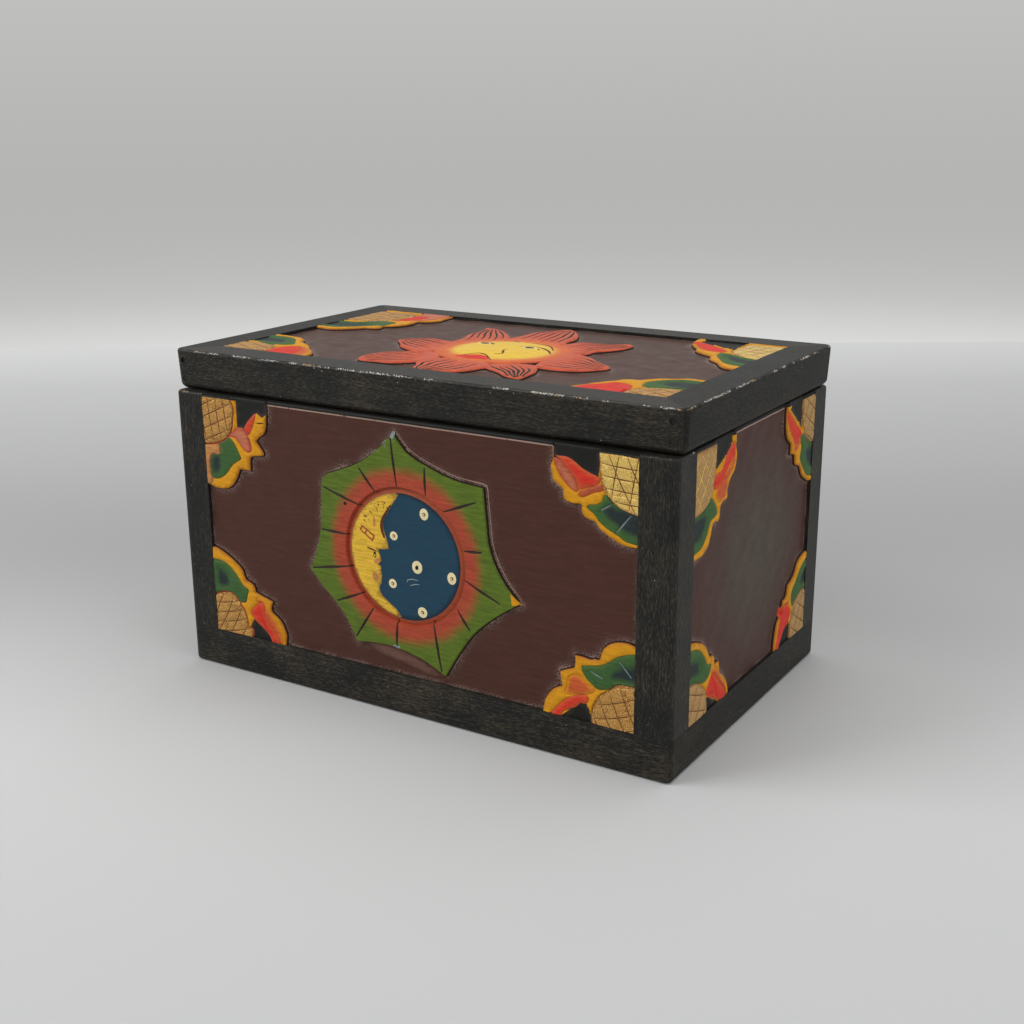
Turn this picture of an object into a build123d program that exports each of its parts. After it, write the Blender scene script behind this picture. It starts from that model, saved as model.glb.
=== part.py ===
from build123d import *
import math
import os

# A hand-carved, painted wooden box with a hinged lid. Millimetres.
# X runs along the front, Y from front to back, Z up from what the box stands on.
# The origin is on the underside, in the middle of the body.

# Body: a frame of rails and posts, with carved panels let in between them
body_width = 250.0
body_depth = 158.0
body_height = 131.0
body_corner_round = 3.0
body_foot_round = 2.0
body_rim_round = 1.5

# Base frame and floor board
base_height = 18.5
base_rail_width = 16.0
floor_thickness = 9.0
floor_rebate = 6.0

# Corner posts
post_width = 16.0

# Carved wall panels
panel_thickness = 10.0
panel_recess = 2.2
panel_rim_round = 1.0
tongue_thickness = 4.0
tongue_length = 5.0
tongue_stop = 3.0
glue_line = 0.1

# Lid: a mitred frame round a carved board
lid_height = 18.0
lid_overhang = 1.5
lid_setback = 2.0
lid_taper = 1.0
lid_corner_round = 4.5
lid_top_round = 1.2
lid_bottom_round = 3.2
lid_rail_width = 15.7
lid_board_thickness = 13.0
lid_recess = 2.2
lid_gap = 0.3

# Carving: how deep each island roots in its board, and the sizes of the figures
carving_root = 1.0
disc_radius = 28.5
disc_depth = 0.8
star_centre = (2.0, 55.5)
face_radius = 25.5
face_rise = 1.5
face_centre = (7.0, -6.0)

# Tips of the star on the front, and a point in the hollow after each tip, from its centre
star_tips = [(-4.5, 54.0), (40.0, 36.5), (57.0, -10.6), (20.0, -50.8), (-27.2, -44.4),
             (-52.0, -14.2), (-42.4, 28.3)]
star_hollows = [(13.0, 42.8), (42.5, 11.0), (35.0, -28.0), (-5.0, -43.2), (-38.5, -27.3),
                (-45.5, 6.0), (-23.0, 39.5)]

# Crescent on the disc: a point on the inner side of the crescent, from the disc's centre
crescent_inner = (-10.5, 1.0)

# Outline of the sun on the lid, from the middle of the lid: each ray's foot, tip and the bulge of its sides
sun_outline = [(-25.0, 3.0), (-31.0, 25.0), (-34.0, 46.0), (-17.0, 36.5), (-6.0, 21.0), (-6.5, 42.0),
               (4.5, 60.5), (16.0, 48.0), (22.5, 25.0), (31.0, 33.0), (49.0, 37.0), (46.5, 19.0),
               (40.0, 3.0), (56.0, -9.0), (66.0, -20.0), (52.0, -33.0), (42.0, -35.0), (44.0, -50.0),
               (44.5, -59.0), (31.0, -51.0), (19.0, -45.0), (15.0, -57.0), (3.0, -61.5), (-7.0, -58.0),
               (-10.0, -52.0), (-22.0, -56.0), (-37.0, -57.0), (-38.0, -40.0), (-29.0, -29.0),
               (-40.0, -19.0), (-50.0, -5.0), (-42.0, 4.0)]

# Outline of a corner carving, from the panel's corner: along the wall, then along the post
corner_outline = [(0.0, 0.0), (38.5, 0.0), (37.5, 8.5), (32.0, 15.5), (35.7, 21.5), (28.0, 23.5),
                  (27.4, 30.0), (21.2, 30.0), (15.5, 37.8), (5.0, 40.5), (0.0, 38.5)]

# Hinges: two small butt hinges with their barrels outside the back, set in from the body's ends
hinge_inset = 55.0
hinge_length = 38.0
leaf_thickness = 1.2
leaf_margin = 1.7
barrel_radius = 2.6
barrel_standoff = 0.3
knuckle_count = 5
knuckle_gap = 0.2
pin_radius = 1.2
pin_clearance = 0.05
pin_head_radius = 1.8
pin_head_length = 0.8

# Screws and nails
screw_radius = 1.0
screw_head_radius = 1.9
screw_length = 9.0
screw_pitch = 13.0
screw_slot_width = 0.5
screw_slot_depth = 0.4
nail_radius = 0.7
nail_head_radius = 1.3
nail_head_depth = 0.8
base_nail_length = 22.0
base_nail_inset = 5.5
base_nail_heights = [4.5, 10.5]
lid_nail_heights = [4.5, 13.0]
panel_pin_length = 10.0
panel_pin_inset = 3.5
panel_pin_ends = 5.5
floor_nail_length = 13.0
floor_nail_sink = 0.3
fastener_clearance = 0.05
cut_over = 2.0

# Places worked out from the sizes above
half_width = body_width / 2
half_depth = body_depth / 2
front_span = body_width - 2 * post_width
side_span = body_depth - 2 * post_width
panel_middle = panel_recess + panel_thickness / 2
lid_bottom = body_height + lid_gap
lid_top = lid_bottom + lid_height
lid_half_width = half_width + lid_overhang
lid_front = -half_depth + lid_setback
lid_back = half_depth
lid_depth = lid_back - lid_front
lid_middle = (lid_front + lid_back) / 2
lid_window_width = 2 * lid_half_width - 2 * lid_rail_width
lid_window_depth = lid_depth - 2 * lid_rail_width
hinge_offset = half_width - hinge_inset
hinge_axis_y = half_depth + barrel_radius + barrel_standoff
hinge_axis_z = body_height + lid_gap / 2
leaf_inner_y = half_depth - panel_recess - panel_thickness + leaf_margin
screw_y = half_depth - panel_middle

# The four walls: each one's own plane has X along the wall, Y up and Z out of the box
wall_planes = {
    "front": Plane(origin=(0, -half_depth, 0), x_dir=(1, 0, 0), z_dir=(0, -1, 0)),
    "right": Plane(origin=(half_width, 0, 0), x_dir=(0, 1, 0), z_dir=(1, 0, 0)),
    "back": Plane(origin=(0, half_depth, 0), x_dir=(-1, 0, 0), z_dir=(0, 1, 0)),
    "left": Plane(origin=(-half_width, 0, 0), x_dir=(0, -1, 0), z_dir=(-1, 0, 0)),
}


def block(xs, ys, zs):
    """A plain block between two values on each axis."""
    size = [high - low for low, high in (xs, ys, zs)]
    middle = [(low + high) / 2 for low, high in (xs, ys, zs)]
    return Pos(*middle) * Box(*size)


def prism(outline, low, high):
    """A closed outline of points, extruded from one height to another."""
    face = make_face(Polyline(*outline, close=True))
    return Pos(0, 0, low) * extrude(face, high - low)


def body_envelope():
    """The rounded outer form that the body's frame is shaped to."""
    form = extrude(RectangleRounded(body_width, body_depth, body_corner_round), body_height)
    form = fillet(form.faces().sort_by(Axis.Z)[0].edges(), body_foot_round)
    return fillet(form.faces().sort_by(Axis.Z)[-1].edges(), body_rim_round)


def lid_envelope():
    """The lid's outer form: its sides lean in towards the bottom, and its edges are rounded."""
    outline = RectangleRounded(2 * lid_half_width, lid_depth, lid_corner_round)
    lean = math.degrees(math.atan(lid_taper / lid_height))
    form = extrude(outline, lid_height, taper=lean)
    form = fillet(form.faces().sort_by(Axis.Z)[-1].edges(), lid_bottom_round)
    form = fillet(form.faces().sort_by(Axis.Z)[0].edges(), lid_top_round)
    return Pos(0, lid_middle, lid_top) * Rot(180, 0, 0) * form


def mitre_wedges(half_x, front, back, rail, low, high):
    """Four prisms that part a frame into its rails along the mitres."""
    outer = [(-half_x, front), (half_x, front), (half_x, back), (-half_x, back)]
    inner = [(-half_x + rail, front + rail), (half_x - rail, front + rail),
             (half_x - rail, back - rail), (-half_x + rail, back - rail)]
    wedges = {}
    for index, side in enumerate(["front", "right", "back", "left"]):
        after = (index + 1) % 4
        wedges[side] = prism([outer[index], outer[after], inner[after], inner[index]], low, high)
    return wedges


def nail(length):
    """A nail that points down from its head, which is flush at height 0."""
    shank = Pos(0, 0, -length / 2) * Cylinder(nail_radius, length)
    head = Pos(0, 0, -nail_head_depth / 2) * Cylinder(nail_head_radius, nail_head_depth)
    return shank + head


def nail_hole(length):
    """The room that a nail takes in the wood, open above its head."""
    depth = length + fastener_clearance
    shank = Pos(0, 0, -depth / 2) * Cylinder(nail_radius + fastener_clearance, depth)
    low = -nail_head_depth - fastener_clearance
    head = Pos(0, 0, (low + cut_over) / 2) * Cylinder(nail_head_radius + fastener_clearance, cut_over - low)
    return shank + head


def base_nail_places():
    """Two nails through each end of the front and back base rails, into the side rails."""
    places = []
    for side in ("front", "back"):
        for end in (-1, 1):
            for height in base_nail_heights:
                spot = (end * (half_width - base_nail_inset), height, 0)
                places.append(wall_planes[side].location * Pos(*spot))
    return places


def lid_nail_places():
    """Two nails through each end of the lid's front and back rails, sunk below the leaning face."""
    places = []
    for face, turn in ((lid_front + lid_taper, 90), (lid_back - lid_taper, -90)):
        for end in (-1, 1):
            for height in lid_nail_heights:
                spot = (end * (lid_half_width - base_nail_inset), face, lid_bottom + height)
                places.append(Pos(*spot) * Rot(turn, 0, 0))
    return places


def panel_pin_places():
    """Pins through the posts into the ends of each panel's side tongues."""
    places = []
    for side, plane in wall_planes.items():
        span = front_span if side in ("front", "back") else side_span
        for end in (-1, 1):
            for height in (base_height + panel_pin_ends, body_height - panel_pin_ends):
                spot = (end * (span / 2 + panel_pin_inset), height, 0)
                places.append(plane.location * Pos(*spot))
    return places


def floor_nail_places():
    """Nails up through the edge of the floor board into the base rails."""
    across = front_span / 2 + floor_rebate / 2
    along = side_span / 2 + floor_rebate / 2
    spots = [(x, side * along) for side in (-1, 1) for x in (-front_span / 3, 0, front_span / 3)]
    spots += [(side * across, y) for side in (-1, 1) for y in (-side_span / 4, side_span / 4)]
    return [Pos(x, y, floor_nail_sink) * Rot(180, 0, 0) for x, y in spots]


def all_at(places, shape):
    """One shape at every place, as separate solids in one compound."""
    return Compound([place * shape for place in places])


def tongue_room(span, along_post):
    """The groove that a panel's tongue fills, in the wall's own plane, with its glue line."""
    half_thick = tongue_thickness / 2 + glue_line
    depths = (-panel_middle - half_thick, -panel_middle + half_thick)
    reach = tongue_length + glue_line
    if along_post:
        top = body_height - tongue_stop + glue_line
        sides = [(span / 2 - cut_over, span / 2 + reach), (-span / 2 - reach, -span / 2 + cut_over)]
        grooves = [block(xs, (base_height - cut_over, top), depths) for xs in sides]
        return grooves[0] + grooves[1]
    return block((-span / 2, span / 2), (base_height - reach, base_height + cut_over), depths)


def base_rails(envelope):
    """The four mitred rails of the base, grooved for the panels and rebated for the floor."""
    wedges = mitre_wedges(half_width, -half_depth, half_depth, base_rail_width, 0, base_height)
    rebate_x = half_width - base_rail_width + floor_rebate + glue_line
    rebate_y = half_depth - base_rail_width + floor_rebate + glue_line
    rebate = block((-rebate_x, rebate_x), (-rebate_y, rebate_y), (-cut_over, floor_thickness + glue_line))
    nail_room = [place * nail_hole(base_nail_length) for place in base_nail_places()]
    nail_room += [place * nail_hole(floor_nail_length) for place in floor_nail_places()]
    rails = {}
    for side, wedge in wedges.items():
        span = front_span if side in ("front", "back") else side_span
        groove = wall_planes[side] * tongue_room(span, along_post=False)
        rail = (wedge & envelope) - rebate - groove
        for room in nail_room:
            rail -= room
        rails[f"base_{side}_rail"] = rail
    return rails


def floor_board():
    """The board that closes the bottom, let into the rails from below."""
    half_x = half_width - base_rail_width + floor_rebate
    half_y = half_depth - base_rail_width + floor_rebate
    board = block((-half_x, half_x), (-half_y, half_y), (0, floor_thickness))
    for place in floor_nail_places():
        board -= place * nail_hole(floor_nail_length)
    return board


def corner_posts(envelope):
    """The four posts on the corners of the base, each grooved for two panels."""
    grooves = []
    for side, plane in wall_planes.items():
        span = front_span if side in ("front", "back") else side_span
        grooves.append(plane * tongue_room(span, along_post=True))
    pin_room = [place * nail_hole(panel_pin_length) for place in panel_pin_places()]
    posts = {}
    for depth_name, sign_y in (("front", -1), ("back", 1)):
        for side_name, sign_x in (("left", -1), ("right", 1)):
            xs = sorted((sign_x * half_width, sign_x * (half_width - post_width)))
            ys = sorted((sign_y * half_depth, sign_y * (half_depth - post_width)))
            post = block(xs, ys, (base_height, body_height)) & envelope
            for cut in grooves + pin_room:
                post -= cut
            posts[f"{depth_name}_{side_name}_post"] = post
    return posts


def panel_board(span):
    """A wall panel before carving: the board with its tongues, in the wall's own plane."""
    field = -panel_recess
    board = block((-span / 2, span / 2), (base_height, body_height), (field - panel_thickness, field))
    rim = board.edges().filter_by(Axis.X).group_by(Axis.Y)[-1].sort_by(Axis.Z)[-1]
    board = fillet(rim, panel_rim_round)
    depths = (-panel_middle - tongue_thickness / 2, -panel_middle + tongue_thickness / 2)
    for xs in ((span / 2, span / 2 + tongue_length), (-span / 2 - tongue_length, -span / 2)):
        board += block(xs, (base_height, body_height - tongue_stop), depths)
    return board + block((-span / 2, span / 2), (base_height - tongue_length, base_height), depths)


def corner_carvings(half_x, low, high, field, face):
    """The four corner carvings of a panel, mirrored into its corners."""
    carvings = []
    for sign_x in (-1, 1):
        for corner_y, sign_y in ((low, 1), (high, -1)):
            outline = [(sign_x * (half_x - u), corner_y + sign_y * v) for u, v in corner_outline]
            carvings.append(prism(outline, field - carving_root, face))
    return carvings


def star_carving(face):
    """The star on the front, with the moon's disc sunk in it and the crescent left standing."""
    centre_x = star_centre[0]
    centre_y = base_height + star_centre[1]
    sides = []
    for index, tip in enumerate(star_tips):
        after = star_tips[(index + 1) % len(star_tips)]
        sides.append(ThreePointArc(tip, star_hollows[index], after))
    root = face - panel_recess - carving_root
    star = Pos(0, 0, root) * extrude(make_face(Curve() + sides), face - root)
    disc = Pos(0, 0, face - disc_depth / 2) * Cylinder(disc_radius, disc_depth)
    inner_edge = ThreePointArc((0, disc_radius), crescent_inner, (0, -disc_radius))
    outer_edge = ThreePointArc((0, -disc_radius), (-disc_radius, 0), (0, disc_radius))
    crescent_face = make_face(Curve() + [inner_edge, outer_edge])
    crescent = Pos(0, 0, face - disc_depth) * extrude(crescent_face, disc_depth)
    return Pos(centre_x, centre_y, 0) * (star - disc + crescent)


def wall_panel(side, envelope):
    """One carved wall panel in place, shaped at the rim with the rest of the body."""
    span = front_span if side in ("front", "back") else side_span
    carvings = corner_carvings(span / 2, base_height, body_height, -panel_recess, 0)
    if side == "front":
        carvings.append(star_carving(0))
    depths = (-panel_recess - carving_root, cut_over)
    window = block((-span / 2, span / 2), (base_height, body_height), depths)
    panel = wall_planes[side] * panel_board(span)
    for carving in carvings:
        panel += (wall_planes[side] * (carving & window)) & envelope
    for place in panel_pin_places():
        panel -= place * nail_hole(panel_pin_length)
    return panel


def hinge_leaf(low, high, knuckles):
    """One leaf over the box's whole hinge length, at x = 0, with its knuckles round the pin."""
    leaf = block((-hinge_length / 2, hinge_length / 2), (leaf_inner_y, half_depth), (low, high))
    pitch = hinge_length / knuckle_count
    for index in knuckles:
        start = -hinge_length / 2 + index * pitch + knuckle_gap / 2
        end = start + pitch - knuckle_gap
        leaf += block((start, end), (half_depth - cut_over, hinge_axis_y), (low, high))
        barrel = Rot(0, 90, 0) * Cylinder(barrel_radius, end - start)
        leaf += Pos((start + end) / 2, hinge_axis_y, hinge_axis_z) * barrel
    bore = Rot(0, 90, 0) * Cylinder(pin_radius + pin_clearance, hinge_length + cut_over)
    return leaf - Pos(0, hinge_axis_y, hinge_axis_z) * bore


def screw(grow):
    """A countersunk screw that points down from its head, flush at height 0."""
    cone = Cone(screw_radius + grow, screw_head_radius + grow, leaf_thickness)
    head = Pos(0, 0, -leaf_thickness / 2) * cone
    depth = screw_length + grow
    return head + Pos(0, 0, -depth / 2) * Cylinder(screw_radius + grow, depth)


def slotted_screw():
    """A screw with a straight slot across its head."""
    slot = block((-screw_head_radius, screw_head_radius), (-screw_slot_width / 2, screw_slot_width / 2),
                 (-screw_slot_depth, cut_over))
    return screw(0) - slot


def screw_places(height, turn):
    """The three screws of each hinge leaf, with their heads at a height."""
    places = []
    for hinge_x in (-hinge_offset, hinge_offset):
        for step in (-1, 0, 1):
            places.append(Pos(hinge_x + step * screw_pitch, screw_y, height) * Rot(turn, 0, 0))
    return places


def leaf_room(low, high):
    """The mortises of both leaves, open to the back."""
    half = hinge_length / 2 + glue_line
    rooms = [block((x - half, x + half), (leaf_inner_y - glue_line, half_depth + cut_over), (low, high))
             for x in (-hinge_offset, hinge_offset)]
    return rooms[0] + rooms[1]


def hinge_pin():
    """A pin with a round head at each end of the barrel."""
    shank = Cylinder(pin_radius, hinge_length + 2 * pin_head_length)
    head = Cylinder(pin_head_radius, pin_head_length)
    rise = hinge_length / 2 + pin_head_length / 2
    return Rot(0, 90, 0) * (shank + Pos(0, 0, rise) * head + Pos(0, 0, -rise) * head)


def lid_board():
    """The lid's carved board, with its tongue all round, in the plane of the lid's top."""
    half_x = lid_window_width / 2
    half_y = lid_window_depth / 2
    field = -lid_recess
    board = block((-half_x, half_x), (-half_y, half_y), (field - lid_board_thickness, field))
    middle = field - lid_board_thickness / 2
    tongue_x = half_x + tongue_length
    tongue_y = half_y + tongue_length
    depths = (middle - tongue_thickness / 2, middle + tongue_thickness / 2)
    board += block((-tongue_x, tongue_x), (-tongue_y, tongue_y), depths)
    window = block((-half_x, half_x), (-half_y, half_y), (field - carving_root, cut_over))
    carvings = corner_carvings(half_x, -half_y, half_y, field, 0)
    carvings.append(prism(sun_outline, field - carving_root, 0))
    for carving in carvings:
        board += carving & window
    ball_radius = (face_radius ** 2 + face_rise ** 2) / (2 * face_rise)
    cap = Sphere(ball_radius) & block((-face_radius, face_radius), (-face_radius, face_radius),
                                      (ball_radius - face_rise - carving_root, ball_radius + cut_over))
    cap = cap & Pos(0, 0, ball_radius) * Cylinder(face_radius, 2 * (face_rise + carving_root))
    board += Pos(face_centre[0], face_centre[1], face_rise - ball_radius) * cap
    return Pos(0, lid_middle, lid_top) * board


def lid_rails(envelope):
    """The lid's four mitred rails, grooved for the board and mortised for the hinges."""
    wedges = mitre_wedges(lid_half_width, lid_front, lid_back, lid_rail_width, lid_bottom, lid_top)
    middle = lid_top - lid_recess - lid_board_thickness / 2
    reach_x = lid_window_width / 2 + tongue_length + glue_line
    reach_y = lid_window_depth / 2 + tongue_length + glue_line
    half_thick = tongue_thickness / 2 + glue_line
    groove = block((-reach_x, reach_x), (lid_middle - reach_y, lid_middle + reach_y),
                   (middle - half_thick, middle + half_thick))
    cuts = [groove, leaf_room(lid_bottom - cut_over, lid_bottom + leaf_thickness + glue_line)]
    cuts += [place * nail_hole(base_nail_length) for place in lid_nail_places()]
    cuts += [place * screw(fastener_clearance) for place in screw_places(lid_bottom, 180)]
    rails = {}
    for side, wedge in wedges.items():
        rail = wedge & envelope
        for cut in cuts:
            rail -= cut
        rails[f"lid_{side}_rail"] = rail
    return rails


def hinges():
    """Both hinges: a leaf on the body, a leaf on the lid and a pin for each."""
    body_knuckles = range(0, knuckle_count, 2)
    lid_knuckles = range(1, knuckle_count, 2)
    body_leaf = hinge_leaf(body_height - leaf_thickness, body_height, body_knuckles)
    lid_leaf = hinge_leaf(lid_bottom, lid_bottom + leaf_thickness, lid_knuckles)
    pieces = {}
    for name, x in (("left", -hinge_offset), ("right", hinge_offset)):
        lower = Pos(x, 0, 0) * body_leaf
        upper = Pos(x, 0, 0) * lid_leaf
        for place in screw_places(body_height, 0):
            lower -= place * screw(fastener_clearance)
        for place in screw_places(lid_bottom, 180):
            upper -= place * screw(fastener_clearance)
        pieces[f"{name}_hinge_body_leaf"] = lower
        pieces[f"{name}_hinge_lid_leaf"] = upper
        pieces[f"{name}_hinge_pin"] = Pos(x, hinge_axis_y, hinge_axis_z) * hinge_pin()
    return pieces


def back_panel_with_mortises(envelope):
    """The back panel, cut for the hinge leaves and their screws."""
    low = body_height - leaf_thickness - glue_line
    panel = wall_panel("back", envelope) - leaf_room(low, body_height + cut_over)
    for place in screw_places(body_height, 0):
        panel -= place * screw(fastener_clearance)
    return panel


def box_pieces():
    """Every piece of the box by name."""
    body_form = body_envelope()
    pieces = base_rails(body_form)
    pieces["floor_board"] = floor_board()
    pieces.update(corner_posts(body_form))
    for side in ("front", "left", "right"):
        pieces[f"{side}_panel"] = wall_panel(side, body_form)
    pieces["back_panel"] = back_panel_with_mortises(body_form)
    pieces.update(lid_rails(lid_envelope()))
    pieces["lid_board"] = lid_board()
    pieces.update(hinges())
    pieces["hinge_body_screws"] = all_at(screw_places(body_height, 0), slotted_screw())
    pieces["hinge_lid_screws"] = all_at(screw_places(lid_bottom, 180), slotted_screw())
    pieces["base_nails"] = all_at(base_nail_places(), nail(base_nail_length))
    pieces["lid_nails"] = all_at(lid_nail_places(), nail(base_nail_length))
    pieces["panel_pins"] = all_at(panel_pin_places(), nail(panel_pin_length))
    pieces["floor_nails"] = all_at(floor_nail_places(), nail(floor_nail_length))
    return pieces


os.makedirs("parts", exist_ok=True)
for name, piece in box_pieces().items():
    export_step(piece, f"parts/{name}.step")
    print(name, "solids", len(piece.solids()), "volume", round(piece.volume, 1))
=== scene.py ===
import logging
import math
from dataclasses import dataclass, field
from enum import Enum
from typing import Optional, Sequence

import bpy
import numpy as np
from mathutils import Matrix, Vector
from mathutils.geometry import delaunay_2d_cdt


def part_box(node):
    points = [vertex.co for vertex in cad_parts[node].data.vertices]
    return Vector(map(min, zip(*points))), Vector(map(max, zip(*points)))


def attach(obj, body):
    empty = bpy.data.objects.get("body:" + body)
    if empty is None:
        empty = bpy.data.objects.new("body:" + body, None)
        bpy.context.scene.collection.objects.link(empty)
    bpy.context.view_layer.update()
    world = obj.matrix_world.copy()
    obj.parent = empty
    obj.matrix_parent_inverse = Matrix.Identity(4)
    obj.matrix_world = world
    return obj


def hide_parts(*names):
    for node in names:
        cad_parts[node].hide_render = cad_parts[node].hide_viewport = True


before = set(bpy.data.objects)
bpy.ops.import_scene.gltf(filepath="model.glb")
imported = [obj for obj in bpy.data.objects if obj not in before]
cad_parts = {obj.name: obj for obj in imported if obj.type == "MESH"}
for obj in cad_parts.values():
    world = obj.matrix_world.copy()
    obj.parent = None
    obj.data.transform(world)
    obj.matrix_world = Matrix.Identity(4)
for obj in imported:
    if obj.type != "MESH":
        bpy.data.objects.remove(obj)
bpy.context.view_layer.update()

log = logging.getLogger("carved_box")
MM = 0.001
Outline = Sequence[tuple]


# Curves and distances in the plane of a carved board, in millimetres


def smooth_outline(points: Outline, step: float = 0.9, closed: bool = True) -> np.ndarray:
    """Draws a smooth line through points, with a corner at each point that has a third entry.

    Args:
        points: Points along the line; a third entry marks a sharp corner.
        step: Longest distance between two points of the result.
        closed: Whether the line returns to its start.

    Returns:
        The points of the drawn line, one row each.
    """
    place = np.array([p[:2] for p in points], float)
    sharp = [len(p) > 2 for p in points]
    count = len(place)
    drawn = []
    for i in range(count if closed else count - 1):
        here, there = place[i], place[(i + 1) % count]
        before = place[i - 1] if (closed or i > 0) else here
        after = place[(i + 2) % count] if (closed or i + 2 < count) else there
        span = np.linalg.norm(there - here)
        leave = there - here if sharp[i] else unit(there - before) * span
        arrive = there - here if sharp[(i + 1) % count] else unit(after - here) * span
        parts = max(1, int(math.ceil(span / step)))
        for t in np.arange(parts) / parts:
            drawn.append(
                here * (2 * t**3 - 3 * t**2 + 1)
                + leave * (t**3 - 2 * t**2 + t)
                + there * (3 * t**2 - 2 * t**3)
                + arrive * (t**3 - t**2)
            )
    if not closed:
        drawn.append(place[-1])
    return np.array(drawn)


def unit(vector: np.ndarray) -> np.ndarray:
    """Gives the vector at length one, or nothing where it has no length."""
    length = np.linalg.norm(vector)
    return vector / length if length > 0 else vector


def ring(centre: tuple, radii: tuple, step: float = 0.9, phase: float = 0.0) -> np.ndarray:
    """Draws an ellipse anticlockwise.

    Args:
        centre: Its middle.
        radii: Its half sizes along and across.
        step: Longest distance between two points.
        phase: Angle of the first point.

    Returns:
        The points of the ellipse, one row each.
    """
    parts = max(10, int(2 * math.pi * max(radii) / step))
    turn = phase + np.arange(parts) * 2 * math.pi / parts
    return np.column_stack([centre[0] + radii[0] * np.cos(turn), centre[1] + radii[1] * np.sin(turn)])


def offset_line(line: np.ndarray, amount: float, closed: bool = True) -> np.ndarray:
    """Moves each point of a line sideways, outwards for a closed line with a positive amount.

    Args:
        line: Points of the line.
        amount: How far to move them.
        closed: Whether the line returns to its start.

    Returns:
        The moved points.
    """
    if closed:
        ahead, behind = np.roll(line, -1, 0), np.roll(line, 1, 0)
        area = np.sum(line[:, 0] * ahead[:, 1] - ahead[:, 0] * line[:, 1])
        amount = amount if area > 0 else -amount
    else:
        ahead = np.vstack([line[1:], line[-1:]])
        behind = np.vstack([line[:1], line[:-1]])
    along = ahead - behind
    along /= np.maximum(np.linalg.norm(along, axis=1, keepdims=True), 1e-9)
    return line + amount * np.column_stack([along[:, 1], -along[:, 0]])


def band(path: np.ndarray, widths: Sequence[float]) -> np.ndarray:
    """Gives the closed outline of a brush or gouge stroke along a path.

    Args:
        path: Points along the middle of the stroke.
        widths: Full widths at even places along it.

    Returns:
        The outline of the stroke.
    """
    share = np.linspace(0, 1, len(path))
    half = np.interp(share, np.linspace(0, 1, len(widths)), widths) / 2
    ahead = np.vstack([path[1:], path[-1:]]) - np.vstack([path[:1], path[:-1]])
    ahead /= np.maximum(np.linalg.norm(ahead, axis=1, keepdims=True), 1e-9)
    side = np.column_stack([-ahead[:, 1], ahead[:, 0]]) * half[:, None]
    return np.vstack([path + side, (path - side)[::-1]])


def distance_to(points: np.ndarray, line: np.ndarray, closed: bool = True) -> np.ndarray:
    """Measures how far each point lies from a line.

    Args:
        points: The points to measure.
        line: Points of the line.
        closed: Whether the line returns to its start.

    Returns:
        One distance for each point.
    """
    start = line if closed else line[:-1]
    run = (np.roll(line, -1, 0) if closed else line[1:]) - start
    square = np.maximum((run**2).sum(1), 1e-12)
    nearest = np.empty(len(points))
    for first in range(0, len(points), 2000):
        away = points[first : first + 2000, None, :] - start[None]
        share = np.clip((away * run[None]).sum(2) / square[None], 0, 1)
        gap = away - share[..., None] * run[None]
        nearest[first : first + 2000] = np.sqrt((gap**2).sum(2).min(1))
    return nearest


def inside(points: np.ndarray, outline: np.ndarray) -> np.ndarray:
    """Tells which points lie inside a closed outline.

    Args:
        points: The points to test.
        outline: Points of the outline.

    Returns:
        One truth value for each point.
    """
    ahead = np.roll(outline, -1, 0)
    result = np.zeros(len(points), bool)
    for (x1, y1), (x2, y2) in zip(outline, ahead):
        if y1 == y2:
            continue
        crosses = (points[:, 1] > y1) != (points[:, 1] > y2)
        result ^= crosses & (points[:, 0] < (x2 - x1) * (points[:, 1] - y1) / (y2 - y1) + x1)
    return result


def depth_inside(points: np.ndarray, outline: np.ndarray, reach: float = 6.0) -> np.ndarray:
    """Measures how deep each point lies inside an outline, less than nothing outside it.

    Args:
        points: The points to measure.
        outline: Points of the outline.
        reach: Beyond this distance outside, only a low value is given.

    Returns:
        One signed distance for each point.
    """
    low, high = outline.min(0) - reach, outline.max(0) + reach
    near = np.all((points >= low) & (points <= high), axis=1)
    result = np.full(len(points), -reach)
    chosen = points[near]
    if len(chosen):
        result[near] = distance_to(chosen, outline) * np.where(inside(chosen, outline), 1, -1)
    return result


def ease(value: np.ndarray) -> np.ndarray:
    """Turns a share from 0 to 1 into a share that starts and ends gently."""
    held = np.clip(value, 0, 1)
    return held * held * (3 - 2 * held)


def ripple(points: np.ndarray, size: float, seed: int) -> np.ndarray:
    """Gives a smooth irregular value between about -1 and 1 at each point of a plane or a space.

    Args:
        points: The points, in millimetres.
        size: Length of one wave.
        seed: Picks the pattern.

    Returns:
        One value for each point.
    """
    chance = np.random.default_rng(seed)
    total = np.zeros(len(points))
    for _ in range(7):
        direction = chance.normal(size=points.shape[1])
        direction /= np.linalg.norm(direction)
        length = size * chance.uniform(0.6, 1.6)
        total += np.sin(points @ direction * 2 * math.pi / length + chance.uniform(0, 6.3))
    return total / 3.5


class Paint(Enum):
    """The colours on the box, by what they colour."""

    FIELD = "field"
    SIDE_FIELD = "side_field"
    LID_FIELD = "lid_field"
    DUSTY = "dusty_field"
    PALE_LINE = "pale_line"
    NET = "net_lines"
    SCUFF = "pale_scuffs"
    STROKE = "dark_stroke"
    SIDE_GOLD = "side_gold"
    WALL = "carved_wall"
    GREEN = "green"
    LEAF_GREEN = "leaf_green"
    GOLD = "gold"
    PALE_GOLD = "pale_gold"
    YELLOW = "yellow"
    ORANGE = "orange"
    RED = "red"
    SALMON = "salmon"
    SLATE = "slate"
    BLACK = "black_line"
    BLUE = "night_blue"
    MOON = "moon_gold"
    CREAM = "cream"
    CHESTNUT = "chestnut"
    PETAL = "petal"
    FACE = "sun_face"
    BLUSH = "blush"
    TAN = "bare_tan"
    BACK = "board_back"


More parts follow.
